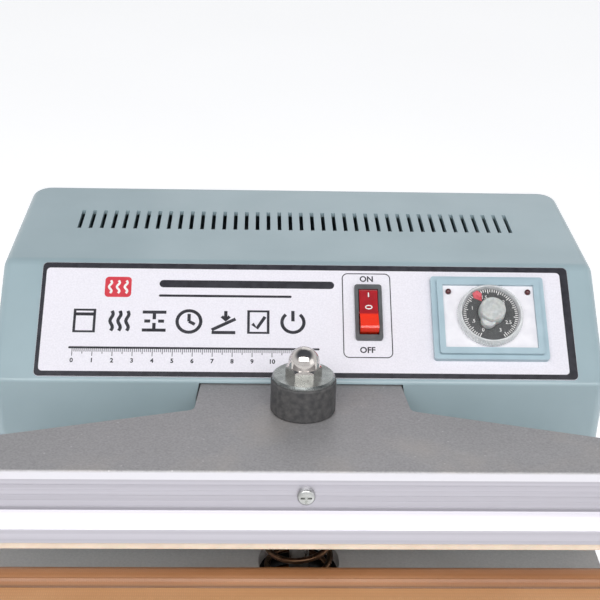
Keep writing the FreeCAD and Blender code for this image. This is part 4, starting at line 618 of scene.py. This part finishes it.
def soft_path(corners):
    """Points along straight runs with rounded corners, none much further apart than LONGEST_MM."""
    path = []
    for i, (point, radius) in enumerate(corners):
        here = Vector(point)
        if not radius:
            path.append(here)
            continue
        to_before = (Vector(corners[i - 1][0]) - here).normalized()
        to_after = (Vector(corners[i + 1][0]) - here).normalized()
        start_at, end_at = here + to_before * radius, here + to_after * radius
        for k in range(6):
            t = k / 5
            path.append(start_at * (1 - t) ** 2 + here * 2 * t * (1 - t) + end_at * t ** 2)
    dense = [path[0]]
    for point in path[1:]:
        extra = int((point - dense[-1]).length // LONGEST_MM)
        for k in range(1, extra + 1):
            dense.append(dense[-1].lerp(point, 1.0 / (extra + 2 - k)))
        dense.append(point)
    return dense


path = soft_path(corners)
points, faces = [], []
for i in range(COLUMNS + 1):
    x = -CLOTH_HALF + 2 * CLOTH_HALF * i / COLUMNS
    for y, z in path:
        ripple = RIPPLE_MM * math.sin(x * 0.13) * math.sin(x * 0.041 + 1.0)
        loose = 1.0 if FRONT < y < BEAD - BEAD_HALF - DRAPE else 0.0
        points.append((x, y, z + ripple * loose))
for i in range(COLUMNS):
    for k in range(len(path) - 1):
        a = i * len(path) + k
        faces.append((a, a + 1, a + len(path) + 1, a + len(path)))
cover = make("cloth_cover", points, faces, cloth, Matrix.Scale(MM, 4), smooth_below=80)
thick = cover.modifiers.new("thickness", "SOLIDIFY")
thick.thickness, thick.offset = CLOTH_MM * MM, 0.0
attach(cover, "stand")
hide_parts("ptfe_cover")

# %% [markdown]
# Ink on the label is screen printed. Each mark is a layer a few hundredths of a millimetre thick: a dark
# border with rounded corners, a thin box round the switch, and the words at its two ends.

# %% Label border and switch box
INK_LOW, INK_HIGH, INK_MID = 0.80, 0.86, 0.83
LABEL_W, LABEL_H, LABEL_X, LABEL_S = 272.4, 63.2, (plate_low[0] + plate_high[0]) / 2 / MM, 33.7
LEFT, RIGHT, TOP, BOTTOM = 2.1, 4.2, 3.1, 2.8
BOX_W, BOX_H, BOX_X, BOX_S, BOX_LINE = 25.2, 47.6, SWITCH_X - 0.7, 36.9, 0.5
on_panel = panel_frame(0, 0, 0)
outer = rounded_loop(LABEL_W - 0.2, LABEL_H - 0.2, 2.4, 8, LABEL_X, LABEL_S)
inner = rounded_loop(LABEL_W - LEFT - RIGHT, LABEL_H - TOP - BOTTOM, 2.0, 8, LABEL_X + (LEFT - RIGHT) / 2,
                     LABEL_S + (BOTTOM - TOP) / 2)
border = make("label_border", *ring_of(outer, inner, INK_LOW, INK_HIGH), ink, on_panel)
outer = rounded_loop(BOX_W, BOX_H, 3.0, 8, BOX_X, BOX_S)
inner = rounded_loop(BOX_W - 2 * BOX_LINE, BOX_H - 2 * BOX_LINE, 3.0 - BOX_LINE, 8, BOX_X, BOX_S)
switch_box = make("switch_outline", *ring_of(outer, inner, INK_LOW, INK_HIGH), ink, on_panel)
for piece in (border, switch_box):
    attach(piece, "stand")


def word(name, text, size, place, material, body, bold=0.11):
    """A short word or number as a thin printed layer, its middle at the matrix place."""
    curve = bpy.data.curves.new(name, "FONT")
    curve.body, curve.size, curve.extrude, curve.offset = text, size, 0.03, bold
    curve.align_x, curve.align_y, curve.resolution_u = "CENTER", "CENTER", 3
    flat = bpy.data.objects.new(name, curve)
    bpy.context.scene.collection.objects.link(flat)
    bpy.context.view_layer.update()
    mesh = bpy.data.meshes.new_from_object(flat)
    bpy.data.objects.remove(flat)
    mesh.transform(place)
    mesh.materials.clear()
    mesh.materials.append(material)
    piece = bpy.data.objects.new(name, mesh)
    bpy.context.scene.collection.objects.link(piece)
    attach(piece, body)


word("print_on", "ON", 4.5, panel_frame(SWITCH_X - 0.5, 57.3, INK_MID), ink, "stand")
word("print_off", "OFF", 4.5, panel_frame(SWITCH_X - 1.0, 17.3, INK_MID), ink, "stand")
print("label printed")

# %% [markdown]
# The left of the label is printed with things anyone could print: a red square with heat waves, a bold rule, a row
# of small picture signs, and a centimetre scale for measuring bags. Each is a set of flat strokes of ink.

# %% Picture signs, rules and scale
def stroke(line, width, closed=False):
    """A flat band of this width along a line of (x, y) points."""
    left, right_side, count = [], [], len(line)
    for i, (x, y) in enumerate(line):
        x0, y0 = line[i - 1] if closed or i else line[0]
        x1, y1 = line[(i + 1) % count] if closed or i < count - 1 else line[-1]
        along = Vector((x1 - x0, y1 - y0)).normalized() * width / 2
        left.append((x - along.y, y + along.x))
        right_side.append((x + along.y, y - along.x))
    if closed:
        return ring_of(right_side, left, INK_LOW, INK_HIGH)
    return slab_of(left + right_side[::-1], INK_LOW, INK_HIGH)


def round_line(radius_x, radius_y, first=0, last=360, steps=28):
    """Points along an ellipse's arc, in degrees."""
    angles = [math.radians(first + (last - first) * k / steps) for k in range(steps + 1)]
    return [(radius_x * math.cos(a), radius_y * math.sin(a)) for a in angles]


def wave(x, low, high):
    """An upright wavy line."""
    return [(x + 0.7 * math.sin(k * 0.78), low + (high - low) * k / 12) for k in range(13)]


BAG = [(-5, 6), (5, 6), (5, -6), (-5, -6)]
ICONS = [
    [(BAG, True), ([(-5, 3.6), (5, 3.6)], False)],
    [(wave(-4, -5.5, 5.5), False), (wave(0, -5.5, 5.5), False), (wave(4, -5.5, 5.5), False)],
    [([(-6, 5), (6, 5)], False), ([(-6, -5), (6, -5)], False), ([(0, 4.2), (0, 1)], False),
     ([(0, -4.2), (0, -1)], False), ([(-5, 0), (-2, 0)], False), ([(2, 0), (5, 0)], False)],
    [(round_line(6, 6)[:-1], True), ([(0, 0), (0, 4.2)], False), ([(0, 0), (3, -1.6)], False)],
    [([(-6, -4.6), (6, 1.6)], False), ([(-6, -6), (6, -6)], False), ([(1, 6), (1, 1.2)], False),
     ([(-1, 3), (1, 0.9), (3, 3)], False)],
    [(BAG, True), ([(-3, -1), (-0.6, -3.4), (3.4, 3)], False)],
    [(round_line(5.6, 5.6, 130, 410), False), ([(0, 6.4), (0, 0.6)], False)],
]
ICON_X, ICON_S, ICON_PITCH, ICON_LINE = LABEL_X - 113, 32.4, 17.6, 1.7
RULES = ((-76, 14, 53.6, 4.2), (-76, -8, 46.8, 1.3), (-120, 6, 17.6, 1.1))      # from x, to x, s, thickness
SCALE_X, SCALE_S, SCALE_CM = LABEL_X - 118, 17.2, 12
BADGE_X, BADGE_S = LABEL_X - 97, 51.5
signs = []
for k, icon in enumerate(ICONS):
    for line, closed in icon:
        placed = [(x + ICON_X + ICON_PITCH * k, y + ICON_S) for x, y in line]
        signs.append(stroke(placed, ICON_LINE, closed))
for x0, x1, rule_s, thick_mm in RULES:
    rule = rounded_loop(x1 - x0, thick_mm, thick_mm / 2.01, 4, (x0 + x1) / 2 + LABEL_X, rule_s)
    signs.append(slab_of(rule, INK_LOW, INK_HIGH))
for k in range(10 * SCALE_CM + 1):
    tall = 4.2 if k % 10 == 0 else 3.0 if k % 5 == 0 else 1.9
    signs.append(slab_of(rounded_loop(0.34, tall, 0.1, 1, SCALE_X + k, SCALE_S - tall / 2), INK_LOW, INK_HIGH))
sign = make("label_signs", *join(signs), ink, on_panel)
for k in range(SCALE_CM + 1):
    word(f"label_cm_{k}", str(k), 3.2, panel_frame(SCALE_X + 10 * k, 10.6, INK_MID), ink, "stand")
badge = make("label_badge", *slab_of(rounded_loop(13.5, 11.5, 2.0, 6, 0, 0), INK_LOW, INK_HIGH), red_ink,
             panel_frame(BADGE_X, BADGE_S, 0))
heat = make("label_heat", *join([stroke(wave(x, -3.6, 3.6), 1.2) for x in (-4, 0, 4)]), white_ink,
            panel_frame(BADGE_X, BADGE_S, 0.06))
for piece in (sign, badge, heat):
    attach(piece, "stand")
print(len(signs), "strokes of ink on the label")

# %% [markdown]
# The rocker carries a line and a ring, moulded in white. They lie on its upper half and tip with it.

# %% Marks on the rocker
ROCKER_PIVOT, ROCKER_TILT, SURFACE_N, MARK_MM = 1.0, -11.0, 2.95, 0.08
tip = panel_frame(SWITCH_X, SWITCH_S, ROCKER_PIVOT) @ Matrix.Rotation(math.radians(ROCKER_TILT), 4, "X")


def on_rocker(s, slope):
    """A place on the rocker's upper half, lying along its surface."""
    n = SURFACE_N + s * math.tan(math.radians(slope))
    return tip @ Matrix.Translation((0, s, n)) @ Matrix.Rotation(math.radians(slope), 4, "X")


angles = [k * math.pi / 12 for k in range(24)]
ring = ring_of([(1.9 * math.cos(a), 1.3 * math.sin(a)) for a in angles],
               [(1.35 * math.cos(a), 0.75 * math.sin(a)) for a in angles], 0.0, MARK_MM)
line = slab_of(rounded_loop(0.6, 2.6, 0.25, 3), 0.0, MARK_MM)
o_mark = make("rocker_ring", *ring, white_ink, on_rocker(1.45, 4.8))
i_mark = make("rocker_line", *line, white_ink, on_rocker(8.3, 10.5))
for piece in (o_mark, i_mark):
    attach(piece, "rocker_body")
print("rocker marked")

# %% [markdown]
# The timer's dial is a clear cup, knurled outside, that turns over the fixed black scale. Its skirt catches the
# light, its flat top is almost invisible, and a frosted knob with a small tail stands in the middle. They are
# turned profiles, and the skirt's radius dips at each of its 90 ribs.

# %% Timer dial
bezel_low, bezel_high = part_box("timer_bezel")
TIMER_X, TIMER_S, DIAL_LOW, DISC_TOP = (bezel_low[0] + bezel_high[0]) / 2 / MM, 34.9, 5.2, 2.4
RIBS, RIB_MM, RIB_ZONE = 90, 0.5, 0.9
LOBE_REACH, LOBE_TURN = 5.2, math.radians(-112)
dial_at = panel_frame(TIMER_X, TIMER_S, DIAL_LOW)


def turned_profile(profile, sides, ribs=0, depth=0.0):
    """Revolves (radius, height) points; ribs are cut into those within RIB_ZONE of the widest."""
    points, faces = [], []
    widest = max(r for r, _ in profile)
    for r, h in profile:
        for k in range(sides):
            a = 2 * math.pi * k / sides
            dip = depth * (0.5 + 0.5 * math.cos(ribs * a)) if ribs and r > widest - RIB_ZONE else 0.0
            points.append(((r - dip) * math.cos(a), (r - dip) * math.sin(a), h))
    for i in range(len(profile) - 1):
        for k in range(sides):
            j = (k + 1) % sides
            faces.append((i * sides + k, i * sides + j, (i + 1) * sides + j, (i + 1) * sides + k))
    return points, faces


skirt_profile = [(14.9, 0.0), (16.8, 0.0), (17.0, 0.3), (16.7, 2.6), (16.3, 3.8), (15.7, 4.4), (15.2, 4.6),
                 (14.9, 4.3), (14.9, 0.0)]
skirt = make("dial_skirt", *turned_profile(skirt_profile, 4 * RIBS, RIBS, RIB_MM), acrylic, dial_at, smooth_below=25)
window_profile = [(6.9, 3.7), (14.8, 3.7), (14.8, 4.3), (6.9, 4.3), (6.9, 3.7)]
pane = make("dial_window", *turned_profile(window_profile, 96), window, dial_at)
knob_profile = [(0.01, 3.7), (6.7, 3.7), (6.8, 4.4), (6.5, 8.9), (6.2, 9.6), (5.6, 9.95), (5.2, 9.85), (4.8, 9.95),
                (4.0, 9.85), (3.6, 9.95), (2.6, 9.85), (2.2, 9.95), (0.01, 9.9)]
lobe_at = Matrix.Translation((LOBE_REACH * math.cos(LOBE_TURN), LOBE_REACH * math.sin(LOBE_TURN), 0))
lobe_profile = [(0.01, 3.75), (3.9, 3.75), (4.0, 4.3), (3.9, 6.2), (3.6, 6.9), (3.0, 7.2), (0.01, 7.3)]
lobe_points, lobe_faces = turned_profile(lobe_profile, 40)
knob = make("dial_knob", *join([turned_profile(knob_profile, 64),
                                ([lobe_at @ Vector(p) for p in lobe_points], lobe_faces)]), frosted, dial_at)
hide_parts("timer_dial")
for piece in (skirt, pane, knob):
    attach(piece, "dial")
print("dial skirt with", RIBS, "ribs")

# %% [markdown]
# White ticks and seconds are printed on the fixed disc, clockwise from zero at the lower left. The red pointer is
# part of the dial and turns with it, under its flat top.

# %% Scale marks and pointer
SECONDS = {"0": 243, ".5": 203, "1": 160, "1.5": 106, "2": 44, "2.5": -27, "3": -64}
TICKS, TICK_DEGREES, TICK_OUT, NUMBER_OUT, POINTER_TURN = 62, 5, 14.0, 9.8, 122
ticks = []
for k in range(TICKS):
    a = math.radians(SECONDS["0"] - TICK_DEGREES * k)
    inner_end = 11.7 if k % 5 == 0 else 12.5
    c, d = Vector((math.cos(a), math.sin(a))), Vector((-math.sin(a), math.cos(a))) * 0.2
    quad = [c * inner_end - d, c * TICK_OUT - d, c * TICK_OUT + d, c * inner_end + d]
    ticks.append(slab_of([tuple(q) for q in quad], DISC_TOP, DISC_TOP + 0.06))
marks = make("scale_ticks", *join(ticks), white_ink, dial_at)
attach(marks, "stand")
for number, angle in SECONDS.items():
    a = math.radians(angle)
    at = dial_at @ Matrix.Translation((NUMBER_OUT * math.cos(a), NUMBER_OUT * math.sin(a), DISC_TOP + 0.03))
    word("scale_" + number.replace(".", "_"), number, 2.7, at, white_ink, "stand", bold=0.02)
a = math.radians(POINTER_TURN)
c, d = Vector((math.cos(a), math.sin(a))), Vector((-math.sin(a), math.cos(a)))
kite = [c * 8.2, c * 11.6 - d * 2.4, c * 14.3 - d * 1.5, c * 14.3 + d * 1.5, c * 11.6 + d * 2.4]
pointer = make("dial_pointer", *slab_of([tuple(w) for w in kite], 2.9, 3.4), pointer_red, dial_at)
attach(pointer, "dial")
print("scale has", len(ticks), "ticks")

# %% [markdown]
# The stand is welded. A weld bead is a row of overlapping ripples, painted over with everything else. It is a
# tube along the joint whose radius swells and shrinks.

# %% Weld beads
BEAD_RADIUS, RIPPLE_STEP = 1.7, 0.9


def weld(name, corners, closed=True):
    """A rippled bead along a line of corners given in millimetres."""
    line = []
    count = len(corners) if closed else len(corners) - 1
    for i in range(count):
        a, b = Vector(corners[i]), Vector(corners[(i + 1) % len(corners)])
        steps = max(2, int((b - a).length / RIPPLE_STEP))
        line += [a.lerp(b, k / steps) * MM for k in range(steps)]
    radii = [(BEAD_RADIUS + 0.35 * math.sin(i * 1.9) + 0.12 * math.sin(i * 0.37)) * MM for i in range(len(line))]
    bead = make(name, *tube(line, radii, 8, closed), powder, smooth_below=60)
    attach(bead, "stand")


def square(x, y, half, z, corner=5.0):
    """The corners of a rounded square round a tube."""
    loop = rounded_loop(2 * half, 2 * half, corner, 4, x, y)
    return [(px, py, z) for px, py in loop]


post_low, post_high = [Vector(c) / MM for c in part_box("column")]
HALF, POST_Y = (post_high.x - post_low.x) / 2 + 0.2, (post_low.y + post_high.y) / 2
weld("weld_column_foot", square(0, POST_Y, HALF, post_low.z + 0.3, 7.0))
weld("weld_column_head", square(0, POST_Y, HALF, post_high.z - 0.3, 7.0))
cross_low, cross_high = [Vector(c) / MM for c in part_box("cross_tube")]
for side, name in ((-1, "left"), (1, "right")):
    x = (cross_high.x if side > 0 else cross_low.x) - side * 0.3
    z = cross_high.z + 0.2
    weld("weld_cross_" + name, [(x, cross_low.y + 5, z), (x, cross_high.y - 5, z)], closed=False)
print("stand welded")

# %% [markdown]
# A pale glowing sweep, a surround that is white at the horizon and dark overhead, a large soft lamp in front and
# weaker ones beside and behind make a product studio's light. The dark ceiling gives polished metal its contrast.

# %% Floor and light
floor_mesh = bpy.data.meshes.new("floor")
FAR = 30
floor_mesh.from_pydata([(-FAR, -FAR, 0), (FAR, -FAR, 0), (FAR, FAR, 0), (-FAR, FAR, 0)], [], [(0, 1, 2, 3)])
floor = bpy.data.objects.new("floor", floor_mesh)
bpy.context.scene.collection.objects.link(floor)
pale = start("floor_pale", roughness=0.9, emission_color=linear("#ffffff"), emission_strength=0.6)
cloudy(pale, 900, "#f4f4f4", "#f8f8f8")
floor_mesh.materials.append(pale)
world = bpy.data.worlds.new("studio")
world.use_nodes = True
where = add(world, "ShaderNodeTexCoord")
split = add(world, "ShaderNodeSeparateXYZ", None, {"Vector": where.outputs["Generated"]})
height = add(world, "ShaderNodeMapRange", {"interpolation_type": "SMOOTHSTEP"},
             {"Value": split.outputs["Z"], "From Min": 0.3, "From Max": 0.8})
sky = add(world, "ShaderNodeMix", {"data_type": "RGBA"}, {0: height.outputs["Result"], 6: linear("#fbfcff"),
                                                          7: linear("#5c6068")})
world.node_tree.links.new(sky.outputs[2], world.node_tree.nodes["Background"].inputs["Color"])
world.node_tree.nodes["Background"].inputs["Strength"].default_value = 0.8
bpy.context.scene.world = world


def lamp_at(name, place, target, wide, tall, power):
    """A soft lamp, in metres and watts, that looks at a target."""
    light = bpy.data.lights.new(name, "AREA")
    light.shape, light.size, light.size_y, light.energy = "RECTANGLE", wide, tall, power
    thing = bpy.data.objects.new(name, light)
    thing.location = place
    thing.rotation_euler = (Vector(target) - Vector(place)).to_track_quat("-Z", "Y").to_euler()
    bpy.context.scene.collection.objects.link(thing)


HEAD = (0, -0.05, 0.85)
lamp_at("key", (-0.13, -1.47, 2.6), HEAD, 3.2, 1.3, 50)
lamp_at("fill", (1.7, -1.0, 1.5), HEAD, 1.2, 1.2, 3)
lamp_at("back", (0.3, 1.8, 2.0), HEAD, 1.2, 1.2, 2)
bpy.context.scene.view_settings.view_transform = "Standard"
print("studio lit")
